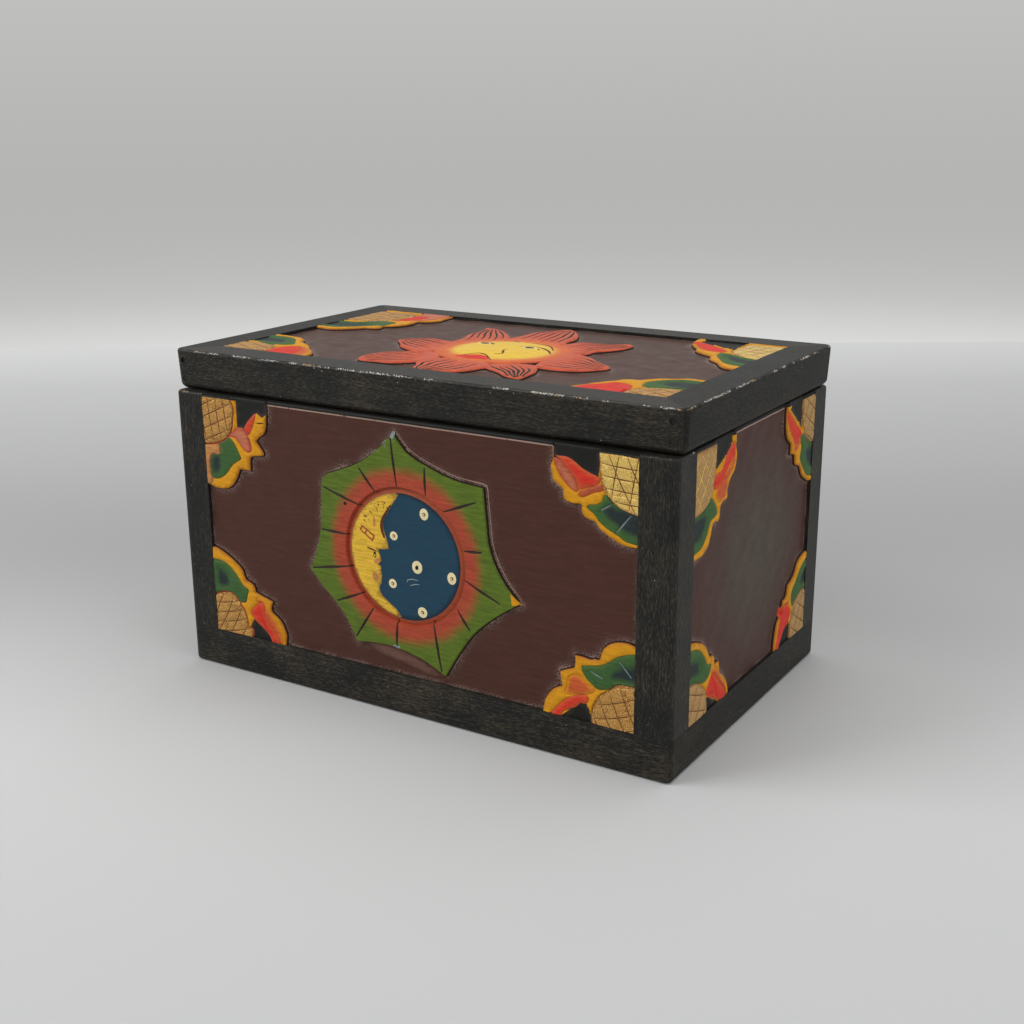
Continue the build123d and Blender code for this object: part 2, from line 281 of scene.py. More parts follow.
@dataclass
class Patch:
    """One painted area of a carving.

    Attributes:
        paint: Its colour.
        outline: Points round it.
        level: Height of its middle above the top of the island, in millimetres.
        crown: How much higher its middle is than its edge.
        reach: How far in from the edge the crown rises.
        groove: Depth of the line cut round it.
        fade: Width of the blend into its second colour, in from its edge.
        halo: Centre, inner and outer radius of a blend round a point, in place of the fade.
    """

    paint: Paint
    outline: np.ndarray
    level: float = 0.0
    crown: float = 0.0
    reach: float = 4.0
    groove: float = 0.0
    fade: float = 0.0
    halo: Optional[tuple] = None


@dataclass
class Groove:
    """A line cut with a gouge."""

    path: np.ndarray
    width: float = 1.0
    depth: float = 0.5
    paint: Optional[Paint] = None
    ends: tuple = (0.35, 1.0, 0.5)


@dataclass
class Window:
    """The open area of a board between the pieces of its frame, in the board's own plane."""

    low: tuple
    high: tuple
    open_top: bool = False

    def border(self, step: float) -> np.ndarray:
        """Gives the points of the window's edge, anticlockwise.

        Args:
            step: Longest distance between two points.

        Returns:
            The points, one row each.
        """
        corners = [self.low, (self.high[0], self.low[1]), self.high, (self.low[0], self.high[1])]
        points = []
        for start, end in zip(corners, corners[1:] + corners[:1]):
            span = max(abs(end[0] - start[0]), abs(end[1] - start[1]))
            parts = int(math.ceil(span / step))
            share = (np.arange(parts) / parts)[:, None]
            points.append(np.array(start) * (1 - share) + np.array(end) * share)
        return np.vstack(points)

    def hold(self, points: np.ndarray) -> np.ndarray:
        """Moves points outside the window onto its edge."""
        return np.clip(points, self.low, self.high)

    def from_edge(self, points: np.ndarray) -> np.ndarray:
        """Measures how far inside the frame each point is; a free upper edge doesn't count.

        Args:
            points: The points to measure.

        Returns:
            One distance for each point.
        """
        gaps = [points[:, 0] - self.low[0], self.high[0] - points[:, 0], points[:, 1] - self.low[1]]
        if not self.open_top:
            gaps.append(self.high[1] - points[:, 1])
        return np.min(gaps, axis=0)


@dataclass
class Carving:
    """Everything that is cut and painted on one board."""

    islands: list = field(default_factory=list)
    patches: list = field(default_factory=list)
    grooves: list = field(default_factory=list)

    def add(self, other: "Carving") -> None:
        """Takes in everything of another carving.

        Args:
            other: The carving to take in.
        """
        self.islands += other.islands
        self.patches += other.patches
        self.grooves += other.grooves

    def moved(self, flip: tuple = (1, 1), shift: tuple = (0.0, 0.0)) -> "Carving":
        """Gives a mirrored, stretched or shifted copy.

        Args:
            flip: Factors along and across, -1 to mirror.
            shift: Distances along and across, after the flip.

        Returns:
            The copy.
        """

        def place(line: np.ndarray) -> np.ndarray:
            """Flips and shifts the points of a line."""
            return line * np.array(flip, float) + np.array(shift, float)

        patches = [Patch(**{**vars(p), "outline": place(p.outline)}) for p in self.patches]
        for patch in patches:
            if patch.halo:
                patch.halo = (tuple(place(np.array(patch.halo[0]))), *patch.halo[1:])
        grooves = [Groove(**{**vars(g), "path": place(g.path)}) for g in self.grooves]
        return Carving([place(i) for i in self.islands], patches, grooves)


@dataclass
class CarvedBoard:
    """A carved and painted board that is let into a frame by a tongue round its edge.

    Attributes:
        origin: Where its plane starts, in metres; the plane is flush with the frame round it.
        thickness: From its ground to its back.
        recess: From the frame's plane down to its ground.
        tongue: Near and far face of its tongue, below the frame's plane.
        seed: Picks its small irregularities.
        tongue_length: How far its tongue reaches beyond the window.
        tongue_stop: How far below a free upper edge its tongue ends.
        shoulder: How far inside its outline an island has its full height.
        foot: How far outside its outline the wall of an island meets the ground.
        skirt: How far beyond the foot one more line of mesh points runs.
        line_half: Half the width of the line cut round a patch.
        rim_round: Radius along a free upper edge.
        rim_drops: Distances of the lines of mesh points along that edge.
        edge_step: Distance between the mesh points on the window's edge.
        mesh_step: Distance between the mesh points on open ground.
        mesh_stray: How far these stray, as a share of that distance.
        clearance: Least distance from them to the points on lines.
        waves: Height and length of the hand-planed waves.
        ticks: Height and length of the small knife marks.
        ground_waves: Height and length of the waves of the sunk ground.
        island_dust: How far the dust round an island reaches.
        frame_dust: Strength and reach of the dust along the frame.
    """

    name: str
    node: str
    body: str
    origin: Vector
    along: Vector
    across: Vector
    window: Window
    carving: Carving
    ground: Paint
    thickness: float
    recess: float
    tongue: tuple
    seed: int
    tongue_length: float = 5.0
    tongue_stop: float = 3.0
    shoulder: float = 0.35
    foot: float = 0.45
    skirt: float = 0.6
    line_half: float = 0.5
    rim_round: float = 1.0
    rim_drops: tuple = (0.25, 0.7, 1.3)
    edge_step: float = 2.0
    mesh_step: float = 1.7
    mesh_stray: float = 0.3
    clearance: float = 0.8
    waves: tuple = (0.05, 9.0)
    ticks: tuple = (0.02, 2.6)
    ground_waves: tuple = (0.12, 16.0)
    island_dust: float = 0.9
    frame_dust: tuple = (0.8, 0.7)

    def lines(self) -> list:
        """Collects every line that the mesh follows.

        Returns:
            Each line with whether it is closed.
        """
        found = [(self.window.border(self.edge_step), True)]
        for island in self.carving.islands:
            for amount in (-self.shoulder, 0.0, self.foot, self.foot + self.skirt):
                found.append((offset_line(island, amount), True))
        for patch in self.carving.patches:
            found.append((patch.outline, True))
            if patch.groove:
                sides = (-self.line_half, self.line_half)
                found += [(offset_line(patch.outline, side), True) for side in sides]
        for groove in self.carving.grooves:
            widths = np.array(groove.ends) * groove.width
            found.append((band(groove.path, widths), True))
            found.append((groove.path, False))
        if self.window.open_top:
            low, high = self.window.low, self.window.high
            across = np.arange(low[0], high[0] + 0.1, self.edge_step)
            for drop in self.rim_drops:
                found.append((np.column_stack([across, np.full(len(across), high[1] - drop)]), False))
        return found

    def scatter(self, placed: np.ndarray) -> np.ndarray:
        """Fills the window with mesh points that keep clear of the lines.

        Args:
            placed: Points that already lie on the lines.

        Returns:
            The new points.
        """
        chance = np.random.default_rng(self.seed)
        low, high = np.array(self.window.low), np.array(self.window.high)
        parts = np.maximum(1, ((high - low) / self.mesh_step).astype(int))
        across, up = np.meshgrid(np.arange(1, parts[0]), np.arange(1, parts[1]))
        points = low + np.column_stack([across.ravel(), up.ravel()]) * (high - low) / parts
        points += chance.uniform(-self.mesh_stray, self.mesh_stray, points.shape) * self.mesh_step
        cells = {tuple(c) for c in np.round(placed / self.clearance).astype(int)}
        free = [tuple(c) not in cells for c in np.round(points / self.clearance).astype(int)]
        return points[free]

    def triangles(self) -> tuple:
        """Divides the window into triangles that follow every line.

        Returns:
            The points in the plane and the three corners of each triangle.
        """
        points, edges = [], []
        low, high = np.array(self.window.low), np.array(self.window.high)
        least, join, on = 0.08, 0.01, 1e-6
        for line, closed in self.lines():
            held = self.window.hold(line)
            keep = [0]
            for i in range(1, len(held)):
                if np.abs(held[i] - held[keep[-1]]).max() > least:
                    keep.append(i)
            held = held[keep]
            first = len(points)
            points += list(held)
            for i in range(len(held) if closed else len(held) - 1):
                a, b = i, (i + 1) % len(held)
                pair = held[[a, b]]
                on_edge = np.all(pair <= low + on, 0) | np.all(pair >= high - on, 0)
                if first == 0 or not on_edge.any():
                    edges.append((first + a, first + b))
        points = np.array(points)
        points = np.vstack([points, self.scatter(points)])
        made = delaunay_2d_cdt([Vector(p) for p in points], edges, [], 0, join, False)
        flat = np.array([tuple(v) for v in made[0]])
        corners = np.array([tuple(f) for f in made[2]])
        a, b, c = flat[corners[:, 0]], flat[corners[:, 1]], flat[corners[:, 2]]
        double = (b - a)[:, 0] * (c - a)[:, 1] - (b - a)[:, 1] * (c - a)[:, 0]
        corners[double < 0] = corners[double < 0][:, ::-1]
        return flat, corners[np.abs(double) > 1e-7]

    def heights(self, points: np.ndarray) -> tuple:
        """Works out the carved surface.

        Args:
            points: Places in the board's plane.

        Returns:
            The height over the frame's plane and the dust at each point.
        """
        rise, local, cut = np.zeros(len(points)), np.zeros(len(points)), np.zeros(len(points))
        dust = np.zeros(len(points))
        on_edge, ground_share = 0.02, 0.4
        for island in self.carving.islands:
            depth = depth_inside(points, island)
            rise = np.maximum(rise, ease((depth + self.foot) / (self.foot + self.shoulder)))
            settled = np.exp((depth + self.foot) / self.island_dust)
            dust = np.maximum(dust, np.where(depth < 0, settled, 0))
        for patch in self.carving.patches:
            depth = depth_inside(points, patch.outline)
            within = depth > -on_edge
            local[within] = (patch.level + patch.crown * ease(depth / patch.reach))[within]
            if patch.groove:
                slope = 1 - np.clip(np.abs(depth) / self.line_half, 0, 1)
                cut = np.maximum(cut, patch.groove * slope)
        for groove in self.carving.grooves:
            away = distance_to(points, groove.path, closed=False) / (groove.width / 2)
            cut = np.maximum(cut, groove.depth * (1 - ease(away)))
        uneven = self.waves[0] * (ripple(points, self.waves[1], self.seed) - 1)
        uneven += self.ticks[0] * (ripple(points, self.ticks[1], self.seed + 1) - 1)
        sunk_waves = ripple(points, self.ground_waves[1], self.seed + 2)
        ground = -self.recess + self.ground_waves[0] * sunk_waves
        height = ground + rise * (local - ground) - cut * np.maximum(rise, ground_share) + uneven
        strength, reach = self.frame_dust
        dust = np.maximum(dust, strength * np.exp(-self.window.from_edge(points) / reach))
        dust *= np.clip(0.75 + 0.5 * ripple(points, 11.0, self.seed + 3), 0.1, 1.2) * (1 - rise)
        if self.window.open_top:
            below = (self.window.high[1] - points[:, 1]) / self.rim_round
            bend = np.clip(1 - below, 0, 1)
            height -= self.rim_round * (1 - np.sqrt(1 - bend**2))
            rubbed = np.clip(0.8 + ripple(points, 17.0, self.seed + 4), 0.1, 1)
            dust = np.maximum(dust, 0.9 * bend**2 * rubbed)
        return height, dust

    def painted(self, middles: np.ndarray) -> np.ndarray:
        """Finds the patch that colours each triangle.

        Args:
            middles: The middle of each triangle.

        Returns:
            The number of the patch, or -1 on the ground; grooves follow the patches.
        """
        chosen = np.full(len(middles), -1)
        for number, patch in enumerate(self.carving.patches):
            chosen[inside(middles, patch.outline)] = number
        for number, groove in enumerate(self.carving.grooves):
            if groove.paint is not None:
                stroke = band(groove.path, np.array(groove.ends) * groove.width)
                chosen[inside(middles, stroke)] = number + len(self.carving.patches)
        return chosen

    def rim(self, flat: np.ndarray) -> np.ndarray:
        """Finds the mesh points on the window's edge.

        Args:
            flat: The mesh points in the plane.

        Returns:
            Their numbers, anticlockwise from the window's lower corner.
        """
        low, high = np.array(self.window.low), np.array(self.window.high)
        size = high - low
        u, v = (flat - low).T
        near = 1e-3
        around = np.full(len(flat), -1.0)
        around[u < near] = 2 * size[0] + size[1] + (size[1] - v)[u < near]
        around[v > size[1] - near] = size[0] + size[1] + (size[0] - u)[v > size[1] - near]
        around[u > size[0] - near] = size[0] + v[u > size[0] - near]
        around[v < near] = u[v < near]
        ids = np.nonzero(around >= 0)[0]
        return ids[np.argsort(around[ids])]

    def back_loops(self, edge: np.ndarray) -> list:
        """Gives the loops that shape the tongue and the back, from the front towards the back.

        Args:
            edge: The points on the window's edge, in the plane.

        Returns:
            Each loop's points with their heights.
        """
        low, high = np.array(self.window.low), np.array(self.window.high)
        out = np.zeros(edge.shape)
        out[edge <= low + 1e-3] = -self.tongue_length
        out[edge >= high - 1e-3] = self.tongue_length
        wide = edge + out
        if self.window.open_top:
            wide[:, 1] = np.minimum(wide[:, 1], high[1] - self.tongue_stop)
        near, far = -self.tongue[0], -self.tongue[1]
        back = -self.recess - self.thickness
        steps = [(edge, near), (wide, near), (wide, far), (edge, far), (edge, back)]
        return [np.column_stack([line, np.full(len(line), height)]) for line, height in steps]

    def blends(self, flat: np.ndarray, corners: np.ndarray, chosen: np.ndarray) -> np.ndarray:
        """Works out the share of the second colour at each corner of each triangle.

        Args:
            flat: The points in the plane.
            corners: The three corners of each triangle.
            chosen: The patch of each triangle.

        Returns:
            One share for each corner, in the order of the triangles.
        """
        share = np.zeros(corners.shape)
        for number, patch in enumerate(self.carving.patches):
            faces = chosen == number
            if not faces.any() or not (patch.fade or patch.halo):
                continue
            places = flat[corners[faces].ravel()]
            if patch.halo:
                centre, near, far = patch.halo
                away = np.linalg.norm(places - np.array(centre), axis=1)
                value = 1 - ease((away - near) / (far - near))
            else:
                value = 1 - ease(distance_to(places, patch.outline) / patch.fade)
            share[faces] = value.reshape(-1, 3)
        return share.ravel()

    def build(self, palette: "Palette") -> bpy.types.Object:
        """Makes the board as one closed mesh and puts it in place of its CAD node.

        Args:
            palette: Gives the material of each paint.

        Returns:
            The finished board.
        """
        flat, corners = self.triangles()
        height, dust = self.heights(flat)
        chosen = self.painted(flat[corners].mean(1))
        paints = [p.paint for p in self.carving.patches] + [g.paint for g in self.carving.grooves]
        used = [self.ground] + sorted({paints[i] for i in set(chosen) if i >= 0}, key=lambda p: p.value)
        used += [paint for paint in (Paint.BLACK, Paint.BACK) if paint not in used]
        slots = [0 if i < 0 else used.index(paints[i]) for i in chosen]
        points = np.column_stack([flat, height])
        faces = [tuple(int(i) for i in c) for c in corners]
        ids = self.rim(flat)
        for loop in self.back_loops(flat[ids]):
            fresh = np.arange(len(points), len(points) + len(loop))
            points = np.vstack([points, loop])
            ahead = np.roll(ids, -1), np.roll(fresh, -1)
            quads = zip(ids, fresh, ahead[1], ahead[0])
            faces += [tuple(int(i) for i in quad) for quad in quads]
            ids = fresh
        faces.append(tuple(int(i) for i in ids[::-1]))
        slots += [used.index(Paint.BLACK)] * len(ids)
        slots += [used.index(Paint.BACK)] * (len(faces) - len(slots))
        outward = self.along.cross(self.across)
        frame_of = np.array([self.along, self.across, outward]) * MM
        mesh = bpy.data.meshes.new(self.name)
        mesh.from_pydata([tuple(p) for p in points @ frame_of + np.array(self.origin)], [], faces)
        for paint in used:
            mesh.materials.append(palette.material(paint))
        mesh.polygons.foreach_set("material_index", slots)
        grain = mesh.attributes.new("grain", "FLOAT_VECTOR", "POINT")
        drift = np.array([self.seed * 37.0, self.seed * 11.0, 0.0])
        grain.data.foreach_set("vector", ((points + drift) * MM).ravel())
        shade = mesh.attributes.new("blend", "FLOAT", "CORNER")
        values = np.zeros(len(mesh.loops))
        shares = self.blends(flat, corners, chosen)
        values[: len(shares)] = shares
        shade.data.foreach_set("value", values)
        settled = mesh.attributes.new("dust", "FLOAT", "POINT")
        settled.data.foreach_set("value", np.concatenate([dust, np.zeros(len(points) - len(dust))]))
        mesh.polygons.foreach_set("use_smooth", [True] * len(mesh.polygons))
        mesh.set_sharp_from_angle(angle=math.radians(55))
        mesh.update()
        board = bpy.data.objects.new(self.name, mesh)
        bpy.context.scene.collection.objects.link(board)
        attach(board, self.body)
        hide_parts(self.node)
        log.info("%s: %d faces", self.name, len(mesh.polygons))
        return board


# Finishes

GRAIN_STRETCH = 0.06


class Graph:
    """Builds the shader of one material, or of the world, with short calls."""

    def __init__(self, owner: object) -> None:
        """Empties the shader of a material or a world.

        Args:
            owner: The material or the world.
        """
        self.owner = owner
        owner.use_nodes = True
        self.tree = owner.node_tree
        self.tree.nodes.clear()

    def add(self, kind: str, values: Optional[dict] = None, **settings: object) -> bpy.types.Node:
        """Adds a node.

        Args:
            kind: Its type name, without the leading ShaderNode.
            values: What goes into its inputs, numbers or sockets, by name or place.
            settings: Its other properties.

        Returns:
            The node.
        """
        node = self.tree.nodes.new("ShaderNode" + kind)
        for key, value in settings.items():
            setattr(node, key, value)
        for key, value in (values or {}).items():
            if isinstance(value, bpy.types.NodeSocket):
                self.tree.links.new(value, node.inputs[key])
            else:
                node.inputs[key].default_value = value
        return node

    def maths(self, operation: str, *values: object, clamp: bool = False) -> bpy.types.NodeSocket:
        """Works out one number from others."""
        node = self.add("Math", dict(enumerate(values)), operation=operation, use_clamp=clamp)
        return node.outputs[0]

    def mix(self, share: object, first: object, second: object, way: str = "MIX") -> bpy.types.NodeSocket:
        """Mixes two colours."""
        values = {0: share, 6: colour(first), 7: colour(second)}
        return self.add("Mix", values, data_type="RGBA", blend_type=way).outputs[2]

    def stretch(self, vector: bpy.types.NodeSocket, factors: tuple) -> bpy.types.NodeSocket:
        """Scales a place by one factor along each axis."""
        return self.add("VectorMath", {0: vector, 1: factors}, operation="MULTIPLY").outputs[0]

    def noise(self, vector: bpy.types.NodeSocket, size: float, detail: float = 3.0) -> bpy.types.NodeSocket:
        """Gives a cloudy value around a half, with spots of this size in millimetres."""
        values = {"Vector": vector, "Scale": 1 / (size * MM), "Detail": detail, "Roughness": 0.55}
        return self.add("TexNoise", values).outputs["Fac"]

    def step(self, value: object, low: float, high: float) -> bpy.types.NodeSocket:
        """Turns a value into a gentle step from 0 at the low mark to 1 at the high mark."""
        values = {"Value": value, "From Min": low, "From Max": high}
        return self.add("MapRange", values, interpolation_type="SMOOTHSTEP").outputs[0]

    def attribute(self, name: str, output: str = "Fac") -> bpy.types.NodeSocket:
        """Reads a value kept on the mesh."""
        return self.add("Attribute", attribute_name=name).outputs[output]

    def places(self) -> bpy.types.NodeSocket:
        """Gives the place on the object, in metres."""
        return self.add("TexCoord").outputs["Object"]

    def bump(self, height: object, depth: float) -> bpy.types.NodeSocket:
        """Turns a value into relief of this depth in millimetres."""
        return self.add("Bump", {"Height": height, "Distance": depth * MM, "Strength": 1.0}).outputs[0]

    def dim(self, base: object, grain: object, strength: float) -> bpy.types.NodeSocket:
        """Makes a colour lighter and darker along the grain.

        Args:
            base: The colour.
            grain: A value around a half.
            strength: How strongly the grain shows.

        Returns:
            The uneven colour.
        """
        lit = self.maths("MULTIPLY_ADD", self.maths("SUBTRACT", grain, 0.5), strength, 1.0)
        return self.mix(1.0, base, self.add("CombineColor", {0: lit, 1: lit, 2: lit}).outputs[0], "MULTIPLY")

    def finish(self, **values: object) -> bpy.types.Material:
        """Adds the surface shader.

        Args:
            values: Its inputs, by name.

        Returns:
            The finished material.
        """
        named = {key.replace("_", " ").title().replace("Ior", "IOR"): value for key, value in values.items()}
        named["Base Color"] = colour(named.pop("Colour"))
        surface = self.add("BsdfPrincipled", named)
        self.tree.links.new(surface.outputs[0], self.add("OutputMaterial").inputs[0])
        return self.owner


def colour(value: object) -> object:
    """Adds the fourth number to a colour of three; leaves a socket as it is."""
    return (*value, 1.0) if isinstance(value, tuple) and len(value) == 3 else value


@dataclass(frozen=True)
class CarvedPaint:
    """Brushed paint on carved wood.

    Attributes:
        shade: Its main colour.
        second: The colour that it blends into where the carving says so.
        dirt: Colour of its worn and dirty spots.
        dirty: How much of it is dirty, from 0 to 1.
        streaks: How strongly the wood's grain shows.
        roughness: How matt it is.
        metallic: How metallic it is.
        painted_glints: Colour of small bright specks, painted highlights that stand for the sparkle of the
            paint, or none.
        dusty: Colour of the dust that lies next to its edges, or none.
        stipple: Depth of its fine relief in millimetres.
        shine: How strongly it reflects.
        grain_width: Width of the grain.
        cloud_size: Size of the worn areas.
        fleck_size: Size of the small flecks.
        painted_glint_size: Size of the painted highlight specks.
    """

    shade: tuple
    second: tuple = (0.1, 0.05, 0.03)
    dirt: tuple = (0.03, 0.02, 0.015)
    dirty: float = 0.3
    streaks: float = 0.35
    roughness: float = 0.55
    metallic: float = 0.0
    painted_glints: Optional[tuple] = None
    dusty: Optional[tuple] = None
    stipple: float = 0.12
    shine: float = 0.2
    grain_width: float = 1.1
    cloud_size: float = 5.0
    fleck_size: float = 0.8
    painted_glint_size: float = 0.55

    def material(self, name: str) -> bpy.types.Material:
        """Makes the material.

        Args:
            name: Its name.

        Returns:
            The material.
        """
        graph = Graph(bpy.data.materials.new(name))
        place = graph.attribute("grain", "Vector")
        grain = graph.noise(graph.stretch(place, (0.12, 1.0, 1.0)), self.grain_width, 4.0)
        cloud = graph.noise(place, self.cloud_size, 4.0)
        fine = graph.noise(place, self.fleck_size, 2.0)
        blend = graph.attribute("blend")
        share = graph.maths("ADD", blend, graph.maths("MULTIPLY_ADD", cloud, 0.5, -0.25))
        share = graph.maths("MULTIPLY", share, graph.step(blend, 0.0, 0.12), clamp=True)
        base = graph.dim(graph.mix(share, self.shade, self.second), grain, 2.2 * self.streaks)
        worn = graph.maths("ADD", graph.maths("MULTIPLY", cloud, 0.6), graph.maths("MULTIPLY", fine, 0.4))
        mark = 0.66 - 0.22 * self.dirty
        base = graph.mix(graph.maths("MULTIPLY", graph.step(worn, mark, mark + 0.14), 0.85), base, self.dirt)
        # Painted highlights: small bright specks mixed into the colour.
        if self.painted_glints is not None:
            bright = graph.step(graph.noise(place, self.painted_glint_size, 1.0), 0.56, 0.68)
            base = graph.mix(graph.maths("MULTIPLY", bright, 0.75), base, self.painted_glints)
        if self.dusty is not None:
            settled = graph.attribute("dust")
            patchy = graph.maths("MULTIPLY", settled, graph.step(fine, 0.36, 0.62))
            base = graph.mix(graph.maths("MULTIPLY", patchy, 0.8, clamp=True), base, self.dusty)
        relief = graph.maths("ADD", graph.maths("MULTIPLY", grain, 0.7), graph.maths("MULTIPLY", fine, 0.5))
        rough = graph.maths("MULTIPLY_ADD", cloud, 0.24, self.roughness - 0.12)
        return graph.finish(
            colour=base, roughness=rough, metallic=self.metallic,
            normal=graph.bump(relief, self.stipple), specular_ior_level=self.shine,
        )


@dataclass(frozen=True)
class FramePaint:
    """Worn black paint on the pieces of a frame, with the grain showing through and chipped edges.

    Attributes:
        low: Lower corner of the whole frame, in metres.
        high: Upper corner of the whole frame.
        lengthwise: Axis of the grain, 0 to 2.
        chips: How much of the edges is chipped, from 0 to 1.
        brown: How strongly brown wood shows through the paint.
        shine: How strongly it reflects.
        shade: Colour of sound paint.
        under: Colour of thin paint over brown wood.
        dash: Colour of the worn dashes along the grain.
        bare: Colour of bare wood in a chip.
        pale: Colour of the ground coat in a chip.
        edge_rub_and_highlight: Colour of the rubbed edges, which also serves as a painted highlight along
            them.
        grain_width: Width of the grain in millimetres, as are the next sizes.
        dash_width: Width of the dashes.
        cloud_size: Size of the worn areas.
        clump_size: Distance between the clumps of chips.
        crumb_size: Size of the crumbs in a chip.
        chip_reach: Where the chips start to end and end, in metres from an edge.
        edge_rub_and_highlight_reach: The same for the rubbed and highlighted edges.
        relief: Depth of the grain in millimetres.
    """

    low: tuple
    high: tuple
    lengthwise: int
    chips: float = 0.5
    brown: float = 0.5
    shine: float = 0.18
    shade: tuple = (0.0115, 0.0122, 0.0115)
    under: tuple = (0.024, 0.0195, 0.0135)
    dash: tuple = (0.078, 0.064, 0.045)
    bare: tuple = (0.46, 0.33, 0.19)
    pale: tuple = (0.62, 0.61, 0.58)
    edge_rub_and_highlight: tuple = (0.13, 0.125, 0.12)
    grain_width: float = 1.1
    dash_width: float = 0.3
    cloud_size: float = 22.0
    clump_size: float = 8.0
    crumb_size: float = 0.6
    chip_reach: tuple = (0.0005, 0.0009)
    edge_rub_and_highlight_reach: tuple = (0.0002, 0.0008)
    relief: float = 0.11

    def edges(self, graph: Graph, place: bpy.types.NodeSocket) -> bpy.types.NodeSocket:
        """Measures the distance from each place to the nearest outer edge of the frame.

        Args:
            graph: The material's graph.
            place: The place on the object.

        Returns:
            The distance in metres.
        """
        parts = graph.add("SeparateXYZ", {0: place}).outputs
        gaps = []
        for axis in range(3):
            middle = (self.low[axis] + self.high[axis]) / 2
            half = (self.high[axis] - self.low[axis]) / 2
            away = graph.maths("ABSOLUTE", graph.maths("SUBTRACT", parts[axis], middle))
            gaps.append(graph.maths("SUBTRACT", half, away))
        upright = graph.maths("MAXIMUM", gaps[0], gaps[1])
        level = graph.maths("MAXIMUM", gaps[2], graph.maths("MINIMUM", gaps[0], gaps[1]))
        return graph.maths("MINIMUM", upright, level)

    def material(self, name: str) -> bpy.types.Material:
        """Makes the material.

        Args:
            name: Its name.

        Returns:
            The material.
        """
        graph = Graph(bpy.data.materials.new(name))
        place = graph.places()
        factors = tuple(GRAIN_STRETCH if axis == self.lengthwise else 1.0 for axis in range(3))
        grain = graph.noise(graph.stretch(place, factors), self.grain_width, 4.0)
        short = tuple(min(1.0, 2.2 * factor) for factor in factors)
        dashes = graph.noise(graph.stretch(place, short), self.dash_width, 1.0)
        cloud = graph.noise(place, self.cloud_size, 4.0)
        fine = graph.noise(place, self.crumb_size, 3.0)
        seen = graph.maths("ADD", graph.maths("MULTIPLY", grain, 0.35), graph.maths("MULTIPLY", cloud, 0.65))
        thin = graph.maths("MULTIPLY", graph.step(seen, 0.42, 0.62), self.brown)
        base = graph.mix(thin, self.shade, self.under)
        worn = graph.step(graph.maths("MULTIPLY_ADD", cloud, 0.4, dashes), 0.71, 0.86)
        base = graph.mix(graph.maths("MULTIPLY", worn, 0.3 + 0.6 * self.brown), base, self.dash)
        base = graph.dim(base, grain, 1.6)
        edge = self.edges(graph, place)
        sparse = 0.6 - 0.16 * self.chips
        clumps = graph.step(graph.noise(place, self.clump_size, 3.0), sparse, sparse + 0.03)
        crumbs = graph.step(fine, 0.48, 0.54)
        line = graph.maths("SUBTRACT", 1.0, graph.step(edge, *self.chip_reach))
        chipped = graph.maths("MULTIPLY", graph.maths("MULTIPLY", clumps, crumbs), line)
        tone = graph.step(graph.noise(place, 9.0, 2.0), 0.5, 0.6)
        # Rubbed paint with a painted highlight: grey along the outer edges of the frame.
        near = graph.maths("SUBTRACT", 1.0, graph.step(edge, *self.edge_rub_and_highlight_reach))
        rubbed = graph.maths("MULTIPLY", graph.maths("MULTIPLY", near, 0.5), graph.step(cloud, 0.45, 0.6))
        base = graph.mix(rubbed, base, self.edge_rub_and_highlight)
        chip = graph.mix(tone, self.pale, self.bare)
        base = graph.mix(graph.maths("MULTIPLY", chipped, 0.95), base, chip)
        specks = graph.step(graph.noise(place, 0.9, 0.0), 0.87, 0.89)
        base = graph.mix(graph.maths("MULTIPLY", specks, 0.6), base, self.pale)
        relief = graph.maths("ADD", graph.maths("MULTIPLY", grain, 0.8), graph.maths("MULTIPLY", dashes, 0.5))
        relief = graph.maths("SUBTRACT", graph.maths("MULTIPLY_ADD", fine, 0.3, relief), chipped)
        rough = graph.maths("MULTIPLY_ADD", seen, 0.3, 0.3)
        normal = graph.bump(relief, self.relief)
        return graph.finish(colour=base, roughness=rough, normal=normal, specular_ior_level=self.shine)


@dataclass(frozen=True)
class StainedWood:
    """Brown stained boards inside and underneath."""

    shade: tuple = (0.15, 0.08, 0.04)
    dark: tuple = (0.07, 0.036, 0.019)
    drawn: bool = False
    ring_width: float = 2.2
    pore_width: float = 0.5

    def material(self, name: str) -> bpy.types.Material:
        """Makes the material.

        Args:
            name: Its name.

        Returns:
            The material.
        """
        graph = Graph(bpy.data.materials.new(name))
        place = graph.attribute("grain", "Vector") if self.drawn else graph.places()
        drawn_out = graph.stretch(place, (GRAIN_STRETCH, 1.0, 1.0))
        grain = graph.noise(drawn_out, self.ring_width, 5.0)
        pores = graph.noise(drawn_out, self.pore_width, 2.0)
        base = graph.mix(graph.step(grain, 0.35, 0.7), self.shade, self.dark)
        base = graph.mix(graph.maths("MULTIPLY", graph.step(pores, 0.58, 0.7), 0.6), base, self.dark)
        relief = graph.maths("ADD", grain, pores)
        return graph.finish(colour=base, roughness=0.62, normal=graph.bump(relief, 0.12))


@dataclass(frozen=True)
class WornMetal:
    """Small metal fittings with dull spots."""

    shade: tuple
    dull: tuple
    roughness: float = 0.35
    spot_size: float = 4.0

    def material(self, name: str) -> bpy.types.Material:
        """Makes the material.

        Args:
            name: Its name.

        Returns:
            The material.
        """
        graph = Graph(bpy.data.materials.new(name))
        place = graph.places()
        spots = graph.step(graph.noise(place, self.spot_size, 5.0), 0.3, 0.8)
        base = graph.mix(spots, self.shade, self.dull)
        rough = graph.maths("MULTIPLY_ADD", spots, 0.3, self.roughness)
        relief = graph.noise(place, 0.6, 3.0)
        return graph.finish(colour=base, roughness=rough, metallic=0.9, normal=graph.bump(relief, 0.04))


